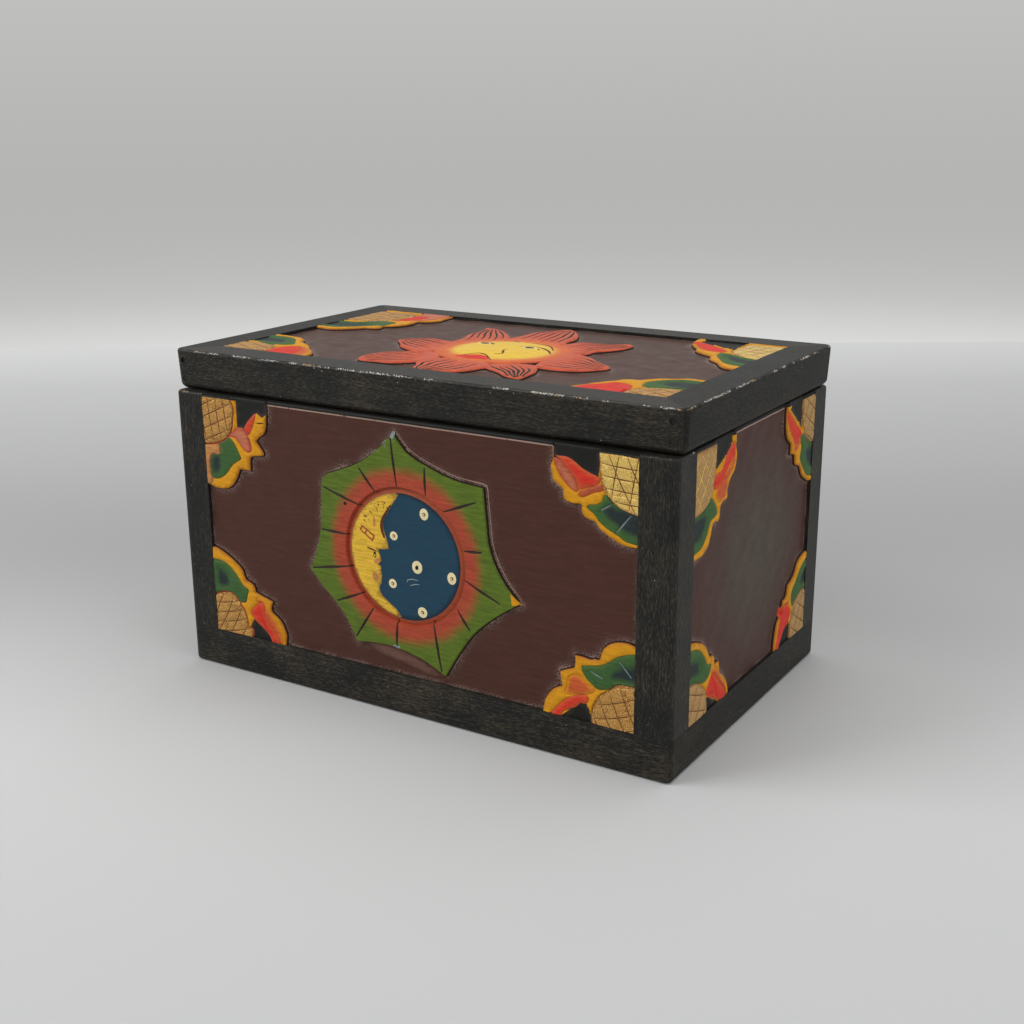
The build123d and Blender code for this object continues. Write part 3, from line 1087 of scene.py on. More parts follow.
DUST = (0.4, 0.3, 0.26)
FLAME = (0.68, 0.135, 0.022)
PAINTS = {
    Paint.FIELD: CarvedPaint(
        (0.0715, 0.0237, 0.0157), dirt=(0.04, 0.0155, 0.0115), dirty=0.2, streaks=0.3, roughness=0.45,
        dusty=DUST, stipple=0.11,
    ),
    # Side walls: the greyer second colour, blended in round the middle, is a painted reflection.
    Paint.SIDE_FIELD: CarvedPaint(
        (0.062, 0.0225, 0.016), second=(0.066, 0.048, 0.035), dirt=(0.034, 0.018, 0.013), dirty=0.2,
        streaks=0.35, roughness=0.45, dusty=DUST, stipple=0.11,
    ),
    Paint.LID_FIELD: CarvedPaint(
        (0.075, 0.034, 0.024), dirt=(0.035, 0.02, 0.016), dirty=0.3, streaks=0.45, roughness=0.42, dusty=DUST,
        stipple=0.08, shine=0.13,
    ),
    Paint.DUSTY: CarvedPaint(
        (0.15, 0.075, 0.056), second=(0.062, 0.0205, 0.0135), dirt=(0.06, 0.02, 0.014), dirty=0.5,
    ),
    Paint.PALE_LINE: CarvedPaint((0.36, 0.24, 0.19), dirt=(0.07, 0.03, 0.02), dirty=0.55),
    # Near-black paint on the carved walls: painted shade where the walls round each figure fall into shadow.
    Paint.WALL: CarvedPaint((0.022, 0.009, 0.007), dirt=(0.1, 0.06, 0.04), dirty=0.1, roughness=0.7),
    Paint.GREEN: CarvedPaint(
        (0.1, 0.155, 0.015), second=(0.4, 0.06, 0.03), dirt=(0.055, 0.06, 0.012), dirty=0.35, streaks=0.5,
        roughness=0.5,
    ),
    Paint.LEAF_GREEN: CarvedPaint(
        (0.045, 0.11, 0.03), second=(0.07, 0.14, 0.03), dirt=(0.02, 0.045, 0.035), dirty=0.4, streaks=0.4,
    ),
    Paint.GOLD: CarvedPaint(
        (0.46, 0.225, 0.055), second=(0.2, 0.06, 0.02), dirt=(0.15, 0.055, 0.016), dirty=0.65, metallic=0.15,
        roughness=0.42, painted_glints=(0.9, 0.62, 0.2),
    ),
    Paint.SIDE_GOLD: CarvedPaint(
        (0.42, 0.24, 0.085), second=(0.2, 0.09, 0.03), dirt=(0.22, 0.12, 0.04), dirty=0.4, roughness=0.5,
        painted_glints=(0.6, 0.38, 0.14),
    ),
    # A lighter copy of the gold with stronger glints: painted highlight where the gold catches the light.
    Paint.PALE_GOLD: CarvedPaint(
        (0.7, 0.45, 0.11), second=(0.3, 0.09, 0.03), dirt=(0.28, 0.1, 0.025), dirty=0.55, metallic=0.2,
        roughness=0.35, painted_glints=(1.0, 0.88, 0.36),
    ),
    Paint.YELLOW: CarvedPaint(
        (0.68, 0.3, 0.008), second=(0.36, 0.11, 0.01), dirt=(0.3, 0.13, 0.015), dirty=0.3, streaks=0.3,
    ),
    Paint.ORANGE: CarvedPaint(
        (0.56, 0.1, 0.025), second=(0.66, 0.27, 0.012), dirt=(0.4, 0.05, 0.02), dirty=0.45,
    ),
    Paint.RED: CarvedPaint(
        (0.66, 0.033, 0.018), second=(0.58, 0.1, 0.03), dirt=(0.2, 0.02, 0.014), dirty=0.35,
    ),
    Paint.SALMON: CarvedPaint(
        (0.52, 0.16, 0.085), second=(0.45, 0.07, 0.035), dirt=(0.24, 0.04, 0.03), dirty=0.4, streaks=0.5,
    ),
    Paint.SLATE: CarvedPaint(
        (0.019, 0.029, 0.03), second=(0.045, 0.11, 0.03), dirt=(0.03, 0.07, 0.035), dirty=0.3,
    ),
    Paint.BLACK: CarvedPaint(
        (0.01, 0.01, 0.009), second=(0.05, 0.035, 0.03), dirt=(0.05, 0.04, 0.035), dirty=0.2,
    ),
    Paint.NET: CarvedPaint((0.2, 0.085, 0.025), second=(0.2, 0.085, 0.025), dirt=(0.4, 0.2, 0.05), dirty=0.6),
    Paint.SCUFF: CarvedPaint((0.26, 0.31, 0.32), dirt=(0.05, 0.09, 0.11), dirty=0.6),
    Paint.STROKE: CarvedPaint((0.03, 0.02, 0.012), dirt=(0.09, 0.05, 0.02), dirty=0.3),
    Paint.BLUE: CarvedPaint(
        (0.0115, 0.052, 0.092), second=(0.006, 0.018, 0.035), dirt=(0.03, 0.08, 0.11), dirty=0.15,
        streaks=0.25, roughness=0.4,
    ),
    Paint.MOON: CarvedPaint(
        (0.74, 0.44, 0.035), second=(0.3, 0.14, 0.02), dirt=(0.4, 0.19, 0.025), dirty=0.4, streaks=0.6,
        roughness=0.42, painted_glints=(0.85, 0.62, 0.1),
    ),
    Paint.CREAM: CarvedPaint(
        (0.84, 0.72, 0.42), dirt=(0.5, 0.33, 0.15), dirty=0.2, streaks=0.1, stipple=0.04,
    ),
    Paint.CHESTNUT: CarvedPaint((0.11, 0.03, 0.014), dirt=(0.03, 0.015, 0.01), dirty=0.3),
    Paint.PETAL: CarvedPaint(
        (0.56, 0.092, 0.038), second=FLAME, dirt=(0.3, 0.035, 0.018), dirty=0.3, streaks=0.45, roughness=0.45,
    ),
    Paint.FACE: CarvedPaint(
        (0.82, 0.53, 0.045), second=FLAME, dirt=(0.75, 0.33, 0.03), dirty=0.3, streaks=0.25, roughness=0.42,
    ),
    Paint.BLUSH: CarvedPaint((0.36, 0.075, 0.03), second=(0.5, 0.1, 0.035), dirty=0.3),
    Paint.TAN: CarvedPaint((0.52, 0.23, 0.07), dirt=(0.2, 0.07, 0.03), dirty=0.4),
}


class Palette:
    """Makes each material once."""

    def __init__(self) -> None:
        """Starts with no materials."""
        self.made: dict = {}

    def material(self, paint: Paint) -> bpy.types.Material:
        """Gives the material of a paint, made at its first use.

        Args:
            paint: The paint.

        Returns:
            Its material.
        """
        if paint not in self.made:
            finish = StainedWood(drawn=True) if paint is Paint.BACK else PAINTS[paint]
            self.made[paint] = finish.material(paint.value)
        return self.made[paint]


# Carvings. Places are in millimetres in each board's own plane, as seen from outside


def area(paint: Paint, points: Outline, **options: object) -> Patch:
    """Makes a painted area with a smooth edge through points."""
    return Patch(paint, smooth_outline(points), **options)


def cut(points: Outline, width: float = 1.0, depth: float = 0.4, paint: Optional[Paint] = None) -> Groove:
    """Makes a gouge line through points."""
    return Groove(smooth_outline(points, step=1.2, closed=False), width, depth, paint)


def skirted(island: np.ndarray) -> Patch:
    """Colours the wall that falls from an island to the ground near black, as painted shade."""
    return Patch(Paint.WALL, offset_line(island, CarvedBoard.foot))


def net_lines(
    outline: np.ndarray, angle: float, spacing: float, bend: float, paint: Paint, reach: float = 22.0
) -> list:
    """Cuts a set of side-by-side lines across an area.

    Args:
        outline: The area's edge.
        angle: Direction of the lines in degrees.
        spacing: Distance between them.
        bend: How far each bows over 20 mm.
        paint: Their colour.
        reach: How far they may run from the area's middle.

    Returns:
        The gouge lines.
    """
    turn = math.radians(angle)
    along, side = np.array([math.cos(turn), math.sin(turn)]), np.array([-math.sin(turn), math.cos(turn)])
    middle = (outline.min(0) + outline.max(0)) / 2
    run = np.arange(-reach, reach, 1.0)
    made = []
    for shift in np.arange(1 - reach, reach, spacing):
        path = middle + run[:, None] * along + (shift + bend * (run / 20) ** 2)[:, None] * side
        kept = path[depth_inside(path, outline) > 0.8]
        if len(kept) > 4:
            made.append(Groove(kept, 0.55, 0.3, paint, (0.4, 1.0, 0.5)))
    return made


@dataclass
class NightStar:
    """A seven-pointed green star round a night-blue disc with a crescent moon in profile and six dots."""

    centre: tuple = (1.9, 73.9)
    radius: float = 28.5
    rim: float = 2.3
    glow: tuple = (5.5, 12.5)
    sunk: float = 0.6
    points: Outline = (
        (-2.5, 128.2, 1), (4.5, 120.5), (15, 115.8), (28, 111.9), (42, 110.5, 1), (43.2, 98), (44.8, 85),
        (50.5, 73), (59, 63.4, 1), (47, 55), (37, 46), (29, 35), (22, 23.2, 1), (10, 28.4), (-3, 31),
        (-14, 31.2), (-25.2, 29.6, 1), (-29.5, 38.5), (-36.5, 46.7), (-43, 52.5), (-50, 59.8, 1),
        (-45.6, 70), (-43.2, 80), (-42, 91), (-41.6, 100.2), (-39.6, 104.6), (-31, 108.4), (-21, 112.8),
        (-10.5, 120.3),
    )
    strokes: tuple = (
        ((-0.8, 104.4), (-3.4, 126)), ((13.8, 103.2), (13.6, 115.3)), ((22.5, 97.5), (38.6, 104)),
        ((32.5, 82), (41.3, 82.8)), ((32.5, 69.2), (49.7, 61.9)), ((28.7, 55.3), (35, 46.9)),
        ((16.3, 47.5), (20.1, 25)), ((-2.5, 44.2), (-3.3, 31.8)), ((-15.2, 47.5), (-25.4, 32)),
        ((-20.8, 53.6), (-35.4, 47.2)), ((-25.8, 65.2), (-48.5, 60.5)), ((-28.2, 79.5), (-42.3, 79.7)),
        ((-20.8, 93.8), (-40.2, 99.4)), ((-12.3, 101), (-20.6, 110.8)),
    )
    scoop: Outline = ((-22, 30.5), (-3, 31), (21, 22.5), (14, 20.8), (-2, 23.6), (-16, 26.2))
    tip: Outline = ((59.6, 63.2, 1), (54.9, 67.4, 1), (55.6, 62.4, 1))
    chips: tuple = (((-2.7, 127.2), (1.1, 1.6)), ((-3.6, 31.4), (1.9, 1.1)))
    hole: tuple = ((-28.6, 93.6), (0.9, 0.8))
    profile: Outline = (
        (-0.4, 101.5, 1), (-3.5, 97), (-6.5, 92.5), (-8.5, 88.6), (-8.7, 84.8), (-7.3, 80.9), (-6.3, 76.3, 1),
        (-11.9, 75.2, 1), (-11, 72.6), (-10.2, 70.3, 1), (-11.9, 68.6, 1), (-10.6, 67.3), (-10.9, 66, 1),
        (-10.4, 63), (-10.8, 60.2, 1), (-11.8, 58), (-11.2, 55.2), (-8.1, 52.5), (-3.5, 49.4), (-0.4, 46, 1),
    )
    shadow: Outline = ((-3.6, 96.6), (-6.7, 92.3), (-8.7, 88.4), (-9, 84.8), (-7.7, 81))
    marks: tuple = (
        (Paint.BLUSH, ((-21.4, 83, 1), (-19.9, 85.4, 1), (-12.9, 81.4, 1), (-14.4, 78.4, 1))),
        (Paint.MOON, ((-20.3, 83, 1), (-19.6, 84.3, 1), (-17.9, 83.3, 1), (-18.6, 81.9, 1))),
        (Paint.MOON, ((-17.9, 81.5, 1), (-17.2, 82.9, 1), (-14, 81.1, 1), (-14.7, 79.6, 1))),
        (Paint.TAN, ((-13.6, 90), (-12.6, 89.6), (-12.8, 85.2), (-13.6, 85.4))),
        (Paint.TAN, ((-14.2, 69.8), (-10.9, 71.4), (-11.4, 69), (-13.4, 68.6))),
        (Paint.TAN, ((-14.8, 64.6), (-12.2, 64), (-12.6, 60.4), (-14.6, 61))),
    )
    dots: tuple = (
        ((12.5, 94.8), (2.2, 2.6)), ((-3.5, 82.7), (2.0, 2.0)), ((8.3, 70.5), (2.6, 2.9)),
        ((25.9, 68.6), (2.2, 2.7)), ((-4.8, 60.8), (2.1, 2.1)), ((10.5, 50.3), (2.4, 2.4)),
    )
    scuffs: tuple = (
        ((8.6, 64.6), (5.2, 64.6), (3, 63.8), (2.6, 62.6)), ((9, 62.8), (6.5, 62.4), (4.2, 61.4)),
        ((-9.2, 122.4), (-6.9, 124.5), (-6.1, 121.6)), ((-14.5, 117.6), (-12.2, 119.6)),
    )

    def carving(self) -> Carving:
        """Makes the whole figure.

        Returns:
            The carving.
        """
        star = smooth_outline(self.points)
        halo = (self.centre, self.radius + self.glow[0], self.radius + self.glow[1])
        made = Carving([star], [area(Paint.DUSTY, self.scoop, fade=2.4), skirted(star)])
        made.patches.append(Patch(Paint.GREEN, star, halo=halo))
        made.grooves.append(self.pale_edge(star))
        made.patches.append(area(Paint.YELLOW, self.tip, level=-0.05))
        made.patches += [Patch(Paint.SCUFF, ring(*chip), level=-0.2) for chip in self.chips]
        made.grooves += [cut(stroke, 1.35, 0.35, Paint.STROKE) for stroke in self.strokes]
        made.patches += self.disc() + self.moon()
        ends = (0.5, 1.0, 0.4)
        made.grooves += [Groove(np.array(path), 0.5, 0.05, Paint.SCUFF, ends) for path in self.scuffs]
        made.patches.append(Patch(Paint.BLACK, ring(*self.hole, 0.5)))
        for place, radii in self.dots:
            made.patches.append(Patch(Paint.CREAM, ring(place, radii, 0.6), -self.sunk, 0.5, 1.2))
            rough_ring = ring(place, (0.8, 0.8), 0.5)
            made.patches.append(Patch(Paint.CHESTNUT, rough_ring, 0.02 - self.sunk, 0.4, 0.5))
            made.patches.append(Patch(Paint.CREAM, ring(place, (0.4, 0.4), 0.4), 0.3 - self.sunk))
        made.patches.append(Patch(Paint.BLACK, ring((8.3, 70.3), (0.9, 0.9), 0.5), 0.3 - self.sunk))
        return made

    def pale_edge(self, star: np.ndarray) -> Groove:
        """Makes the pale line that runs along the star's right edges.

        Args:
            star: Edge of the star.

        Returns:
            The line.
        """
        beyond = offset_line(star, 1.5)
        top, right = (np.array(self.points[i][:2]) for i in (0, 8))
        ends = [int(np.argmin(np.linalg.norm(beyond - tip, axis=1))) for tip in (top, right)]
        return Groove(beyond[min(ends) : max(ends)], 0.45, 0.15, Paint.PALE_LINE)

    def disc(self) -> list:
        """Makes the red rim and the sunk blue ground.

        Returns:
            Their patches.
        """
        wide = self.radius + self.rim
        edge = ring(self.centre, (self.radius, self.radius))
        rim = Patch(Paint.BLUSH, ring(self.centre, (wide, wide)), -1.5, 0.9, self.rim, groove=0.02)
        return [rim, Patch(Paint.BLUE, edge, -self.sunk, -0.1, 3.0, fade=2.2)]

    def moon(self) -> list:
        """Makes the crescent with its profile, its eye and its marks.

        Returns:
            Its patches, from the lowest up.
        """
        inner = smooth_outline(self.profile, 0.7, closed=False)
        upper, lower = (math.atan2(y - self.centre[1], x - self.centre[0]) for x, y in inner[[0, -1]])
        turn = np.linspace(lower, upper - 2 * math.pi, 70)[1:-1]
        outer = np.array(self.centre) + (self.radius - 0.1) * np.column_stack([np.cos(turn), np.sin(turn)])
        shadow = smooth_outline(self.shadow, closed=False) - np.array([0.6, 0.0])
        brow = np.array([(-17.6, 75.4), (-15.6, 75), (-12.6, 74.4)])
        return [
            Patch(Paint.MOON, np.vstack([inner, outer]), -0.55, 0.5, 2.2, fade=0.9),
            Patch(Paint.CHESTNUT, band(shadow, (0.3, 1.3, 1.6, 1.0)), -0.4),
            *(area(paint, points, level=-0.05) for paint, points in self.marks),
            Patch(Paint.BLACK, ring((-13.6, 72.6), (0.8, 1.5), 0.5), -0.2),
            Patch(Paint.MOON, ring((-13.5, 72.3), (0.35, 0.8), 0.5), -0.05),
            Patch(Paint.CHESTNUT, band(brow, (0.5, 0.9, 0.4)), -0.1),
            *(Patch(Paint.NET, ring(place, (size, size), 0.4), -0.05) for place, size in self.stipple()),
        ]

    def stipple(self) -> list:
        """Scatters the brown spots in the upper horn of the moon.

        Returns:
            The place and the radius of each.
        """
        chance = np.random.default_rng(11)
        count = 26
        away, turn = chance.uniform(0.79, 0.93, count), np.radians(chance.uniform(106, 146, count))
        places = np.array(self.centre) + self.radius * (away * [np.cos(turn), np.sin(turn)]).T
        return list(zip(places, chance.uniform(0.25, 0.5, count)))


@dataclass
class CornerLeaves:
    """A corner carving: a gold quarter with painted leaves curling round it.

    Attributes:
        border: Outer edge of the whole figure.
        areas: Painted areas inside it, from the lowest layer up, each with its colour and options.
        net: Angle, spacing and bend of each set of lines on the last area, the quarter.
        net_paint: Colour of those lines.
        lines: Other gouge lines, each with its colour or none.
        outlined: Whether a reddish line runs round the quarter.
        shift: How far the drawing is moved to sit right in its window.
    """

    border: Outline
    areas: tuple
    net: tuple
    net_paint: Paint = Paint.NET
    lines: tuple = ()
    outlined: bool = False
    shift: tuple = (0.0, 0.0)

    def carving(self) -> Carving:
        """Makes the whole figure.

        Returns:
            The carving.
        """
        island = smooth_outline(self.border)
        base = Patch(Paint.YELLOW, island, -0.3, 0.3, 1.2, fade=0.7)
        made = Carving([island], [skirted(island), base])
        for paint, points, options in self.areas:
            made.patches.append(area(paint, points, **options))
        quarter = made.patches[-1].outline
        for angle, spacing, bend in self.net:
            made.grooves += net_lines(quarter, angle, spacing, bend, self.net_paint)
        if self.outlined:
            made.grooves.append(Groove(np.vstack([quarter, quarter[:1]]), 0.9, 0.25, Paint.BLUSH))
        for points, paint in self.lines:
            made.grooves.append(cut(points, 0.6, 0.3, paint))
        return made.moved(shift=self.shift)


LEAF = {"level": -0.2, "crown": 0.25, "reach": 2.0, "groove": 0.35, "fade": 1.6}
DEEP = {"level": -0.75, "crown": 0.0, "reach": 2.0, "fade": 1.5}
SCROLL = {"level": -0.25, "crown": 0.35, "reach": 3.0, "groove": 0.5, "fade": 1.3}
SOFT = {"level": -0.3, "crown": -0.15, "reach": 3.0, "fade": 2.2}
FLAT = {"level": -0.1, "crown": 0.1, "reach": 2.0, "fade": 1.0}

FRONT_TOP_LEFT = CornerLeaves(
    border=(
        (-114, 136, 1), (-114, 92, 1), (-107.8, 91.7), (-104.3, 90.6), (-100.1, 90.2), (-95.8, 90.9),
        (-92.4, 93.2), (-90.1, 96.3), (-88.5, 99.4), (-87.8, 100.9, 1), (-81.6, 100.9, 1),
        (-81.2, 106.3), (-80.5, 107.5), (-73.5, 109), (-73.3, 110.2, 1), (-77.2, 115, 1),
        (-75.1, 117.1), (-72.8, 118.6), (-71.4, 121.3), (-70.8, 124.8), (-70.8, 136, 1),
    ),
    areas=(
        (Paint.BLACK, (
            (-88, 136, 1), (-70.6, 136, 1), (-70.6, 127.7, 1), (-73, 125.9, 1), (-76.2, 127.7, 1),
            (-83.7, 119.8, 1), (-88, 119.8, 1),
        ), DEEP),
        (Paint.LEAF_GREEN, (
            (-93.2, 115.2), (-86.4, 106.3), (-87.4, 105.2), (-91.6, 102.5), (-95.1, 98.6),
            (-98.5, 95.9), (-103.7, 94.6), (-104.9, 97.1), (-104.1, 105.5), (-98.3, 108.2),
            (-98.7, 111.7),
        ), LEAF),
        (Paint.SLATE, ((-104, 105.5), (-98.7, 106), (-98.5, 101), (-99, 98), (-104.3, 97.2)), SOFT),
        (Paint.TAN, (
            (-112, 110.2, 1), (-98.8, 111.5), (-98.4, 108.2), (-98.9, 106.3), (-104.1, 105.3),
            (-104.8, 97), (-104, 94.2), (-105.8, 91.5), (-107.8, 91.7), (-112, 96, 1),
        ), FLAT),
        (Paint.RED, ((-77.4, 127.3), (-83.7, 119.8), (-81.5, 117), (-76.5, 126.5)), LEAF),
        (Paint.SALMON, (
            (-93.2, 115.9), (-90.5, 117.8), (-88.5, 119.8), (-83.7, 119.8), (-81.6, 117.1),
            (-80, 110.9), (-82.8, 109.2), (-89.3, 114.8),
        ), LEAF),
        (Paint.GOLD, (
            (-112, 133, 1), (-91.2, 133, 1), (-89.3, 129), (-89.7, 124.4), (-90.7, 119.4),
            (-93.2, 115.5), (-96.6, 113), (-100.5, 111.5), (-105.8, 110.5), (-112, 110.3, 1),
        ), SCROLL),
    ),
    net=((-82, 4.6, 1.0), (24, 5.0, 0.0)),
    lines=(
        (((-76.2, 123.2), (-71.8, 123.8)), Paint.BLACK),
    ),
    outlined=True,
    shift=(-1.6, -2.6),
)

FRONT_BOTTOM_LEFT = CornerLeaves(
    border=(
        (-114, 12, 1), (-69.6, 12, 1), (-69.1, 19.5, 1), (-68.7, 22.6), (-69.7, 25.7), (-71.2, 28.4),
        (-73.5, 30.5), (-75.8, 31.8, 1), (-77, 33.4), (-76.8, 35.3), (-75.8, 37.6, 1), (-78.9, 38.4),
        (-82, 39.3), (-85.9, 40.4, 1), (-86.2, 41.5), (-87, 43.4), (-88.9, 44.5), (-91.2, 45.3),
        (-92.4, 47.6), (-93.5, 50.1), (-96.6, 52.6), (-99.7, 54.5), (-104.3, 56.8), (-108.2, 58.2),
        (-114, 58.6, 1),
    ),
    areas=(
        (Paint.BLACK, ((-88.2, 26.5), (-82.8, 23.8), (-77, 18), (-88.9, 17)), DEEP),
        (Paint.LEAF_GREEN, (
            (-112, 52.6, 1), (-104.3, 52.2), (-100.5, 50.3), (-97.4, 47.6), (-95.1, 44.9),
            (-92.8, 42.2), (-90.1, 40.7), (-90.8, 38.4), (-92.8, 34), (-104, 35), (-112, 36, 1),
        ), LEAF),
        (Paint.SLATE, ((-108, 48.4), (-103, 47.2), (-100.6, 42), (-103.4, 39.5), (-108.5, 39.5)), SOFT),
        (Paint.ORANGE, (
            (-85.5, 37.8), (-81, 36.8), (-77.6, 32.6), (-73, 27), (-70.8, 21.5), (-72, 17), (-77, 19),
            (-82, 28),
        ), LEAF),
        (Paint.RED, (
            (-81.6, 36.1), (-85.1, 34.9), (-88.2, 32.2), (-89.3, 29.5), (-87, 26.5), (-82.8, 23.8),
            (-79.3, 21.1), (-76.6, 17), (-72.4, 17), (-75.1, 22.6), (-78.2, 26.5), (-80.8, 30.3),
        ), LEAF),
        (Paint.GOLD, (
            (-112, 15, 1), (-89.3, 16, 1), (-88.9, 21.3), (-91, 22.8), (-91.6, 26.5), (-92.8, 30.3),
            (-94.7, 32.6), (-96.6, 35.3), (-99.3, 37.2), (-102.4, 37.8), (-105.8, 37.2),
            (-112, 34.9, 1),
        ), SCROLL),
    ),
    net=((62, 6.0, 3.0), (14, 4.6, 2.0)),
    outlined=True,
    shift=(1.4, 0.5),
)

FRONT_TOP_RIGHT = CornerLeaves(
    border=(
        (114, 136, 1), (72, 136, 1), (72.3, 127.1), (71.3, 124.4), (71.9, 121.3), (72.3, 118.8, 1),
        (74.6, 117.1), (76.9, 115.5, 1), (76.9, 113.2), (78.1, 111.3), (81.5, 110.5), (85, 110.5),
        (85, 108.2), (86.5, 105.9), (88.5, 105.2), (91.2, 104.6, 1), (93.1, 102.1), (96.9, 99.8),
        (100.8, 97.8), (104.6, 96.9), (107.7, 96.9), (114, 97.2, 1),
    ),
    areas=(
        (Paint.LEAF_GREEN, (
            (95, 115.9), (93.8, 113.2), (91.5, 111.7), (88.5, 111.1), (87.3, 110.2), (88.5, 109),
            (90.8, 107.5), (92.7, 105.2), (96.2, 102.8), (100.4, 100.9), (104.2, 98.9), (112, 98, 1),
            (112, 116, 1),
        ), LEAF),
        (Paint.SLATE, (
            (96.4, 113), (93.6, 110.4), (95.5, 107), (99.6, 104.2), (104.6, 101.6), (112, 100.6, 1),
            (112, 112, 1), (103, 112),
        ), SOFT),
        (Paint.BLACK, (
            (72.6, 136, 1), (92.5, 136, 1), (92.5, 122, 1), (83, 124.6), (72.8, 127.4, 1),
        ), DEEP),
        (Paint.RED, (
            (73.5, 128.6, 1), (79.6, 128.4), (86.2, 124.6), (93.3, 122.2, 1), (92.6, 119.9),
            (84.4, 116.4, 1), (82.2, 120.9), (76.5, 126.7),
        ), LEAF),
        (Paint.SALMON, (
            (73, 127.6), (75, 127.4), (76.5, 126.7), (82.2, 120.9), (84.2, 116.4, 1), (82.6, 115.3),
            (78.3, 118), (74.6, 122.6),
        ), LEAF),
        (Paint.BLUSH, (
            (83.8, 115.2), (86.9, 117.1), (93.8, 119.8), (94.6, 117.8), (90, 115.9), (85, 113.6),
        ), LEAF),
        # This quarter takes the lighter gold copy, a painted highlight.
        (Paint.PALE_GOLD, (
            (92.3, 133, 1), (112, 133, 1), (112, 109, 1), (104.6, 110.5), (100.4, 112.1), (96.9, 114.8),
            (94.2, 118.6), (93.3, 122.5), (92.7, 127.1),
        ), SCROLL),
    ),
    net=((-3, 4.6, 0.6), (-62, 7.0, 1.0), (80, 8.0, 0.0)),
    lines=(
        (((106.2, 109.4), (100.2, 101.7)), Paint.SCUFF),
        (((97.9, 112.5), (93.7, 109.8)), Paint.SCUFF),
    ),
    shift=(-0.4, -2.7),
)

FRONT_BOTTOM_RIGHT = CornerLeaves(
    border=(
        (114, 12, 1), (68.4, 12, 1), (68.7, 19, 1), (69.2, 22.2), (70.4, 25.7), (73.1, 29.5),
        (75.4, 31.1), (77.7, 32.2, 1), (77.1, 35.3), (76.7, 38.2, 1), (79.2, 39.5), (83.1, 41.1, 1),
        (83.5, 43.4), (83.5, 46.5, 1), (86.9, 46.5), (90.8, 46.1), (92.3, 46.8), (94.2, 46.8),
        (95, 49.2), (96.2, 51.8), (98.1, 53.8), (100.8, 55.3), (104.2, 56.1), (107.7, 56.1),
        (114, 54.4, 1),
    ),
    areas=(
        (Paint.BLACK, ((86.2, 26.7), (89.2, 26.5), (90.4, 17), (77.7, 17), (81.5, 23)), DEEP),
        (Paint.LEAF_GREEN, (
            (112, 53, 1), (105.4, 51.1), (101.5, 49.2), (98.5, 46.8), (95.4, 44.9), (91.5, 43.8),
            (86.5, 42.8, 1), (86.9, 40.7), (88.5, 38), (90.8, 36.1), (94.2, 34.2), (104, 37),
            (112, 38, 1),
        ), LEAF),
        (Paint.SLATE, (
            (112, 48.6, 1), (104.6, 47), (100, 43.6), (99.4, 39.8), (104, 39.6), (112, 40, 1),
        ), SOFT),
        (Paint.ORANGE, (
            (85, 38.8), (80.8, 36.8), (80, 32.6), (79.2, 29.5), (83.8, 29.5), (88.5, 30.7),
            (92.7, 33.8), (89.2, 36.1),
        ), LEAF),
        (Paint.RED, (
            (71.5, 17), (75.4, 23), (79.2, 26.8), (83.8, 29.5), (88.5, 30.7), (90, 29.2), (88.5, 26.8),
            (86.2, 26.7), (84.6, 24.9), (81.5, 23), (78.1, 20.7), (77.3, 17), (74.2, 17),
        ), LEAF),
        (Paint.GOLD, (
            (91.2, 16, 1), (91, 21.8), (91.5, 25.7), (93.1, 29.5), (95, 32.2), (98.5, 34.9),
            (102.3, 38), (104.6, 38.6), (112, 38.8, 1), (112, 15, 1),
        ), SCROLL),
    ),
    net=((-66, 5.4, 2.0), (18, 6.0, 2.5)),
    lines=(
        (((103.3, 48.2), (108.5, 42.2)), Paint.SCUFF),
        (((90.8, 41.5), (96.2, 39.5)), Paint.SCUFF),
    ),
    shift=(-1.2, -0.9),
)

SIDE_TOP_FRONT = CornerLeaves(
    border=(
        (-68, 136, 1), (-27.2, 136, 1), (-27.1, 129.4), (-26.3, 123.8), (-27.8, 118.8), (-32.8, 115),
        (-34.3, 111.9), (-34.6, 108.1, 1), (-40.3, 106.9), (-41.3, 102.3), (-42.8, 100.6, 1),
        (-47.1, 101), (-49, 97.5), (-51.5, 93.1), (-56.5, 90.6), (-61.5, 90.3), (-68, 90.3, 1),
    ),
    areas=(
        (Paint.LEAF_GREEN, (
            (-68, 93.1, 1), (-61.5, 93.1), (-56.5, 94.4), (-52.1, 98.8), (-49.6, 102.5), (-44, 104.4),
            (-46.5, 109.4), (-49.6, 111.9), (-68, 112, 1),
        ), LEAF),
        (Paint.SLATE, (
            (-68, 96.4, 1), (-59, 97), (-55, 101), (-53.6, 106), (-58, 107.6), (-68, 106.6, 1),
        ), SOFT),
        (Paint.BLACK, (
            (-46, 136, 1), (-31, 136, 1), (-30.6, 130, 1), (-36, 126.6), (-46, 122, 1),
        ), DEEP),
        (Paint.ORANGE, (
            (-28.4, 129.4), (-27.6, 123.8), (-29, 119.6), (-34, 116), (-36, 109.6), (-42, 108.6),
            (-46.6, 113.4), (-40, 118), (-32, 123),
        ), LEAF),
        (Paint.RED, (
            (-35.9, 126.9), (-30.3, 129.8), (-28.4, 129.8), (-28.4, 126.3), (-30.9, 123.1),
            (-35.3, 120), (-40.3, 116.3), (-47.8, 115), (-47.1, 120), (-41.5, 121.3),
        ), LEAF),
        (Paint.SIDE_GOLD, (
            (-68, 133, 1), (-45.9, 133, 1), (-46.2, 126), (-47.1, 120), (-49.6, 112.5), (-55.3, 108.8),
            (-62.1, 107.5), (-68, 107.2, 1),
        ), SCROLL),
    ),
    net=((52, 6.4, 1.0), (-50, 6.4, 1.0)),
    # Its lines take the lighter gold copy, a painted highlight.
    net_paint=Paint.PALE_GOLD,
    shift=(2.5, -3.4),
)

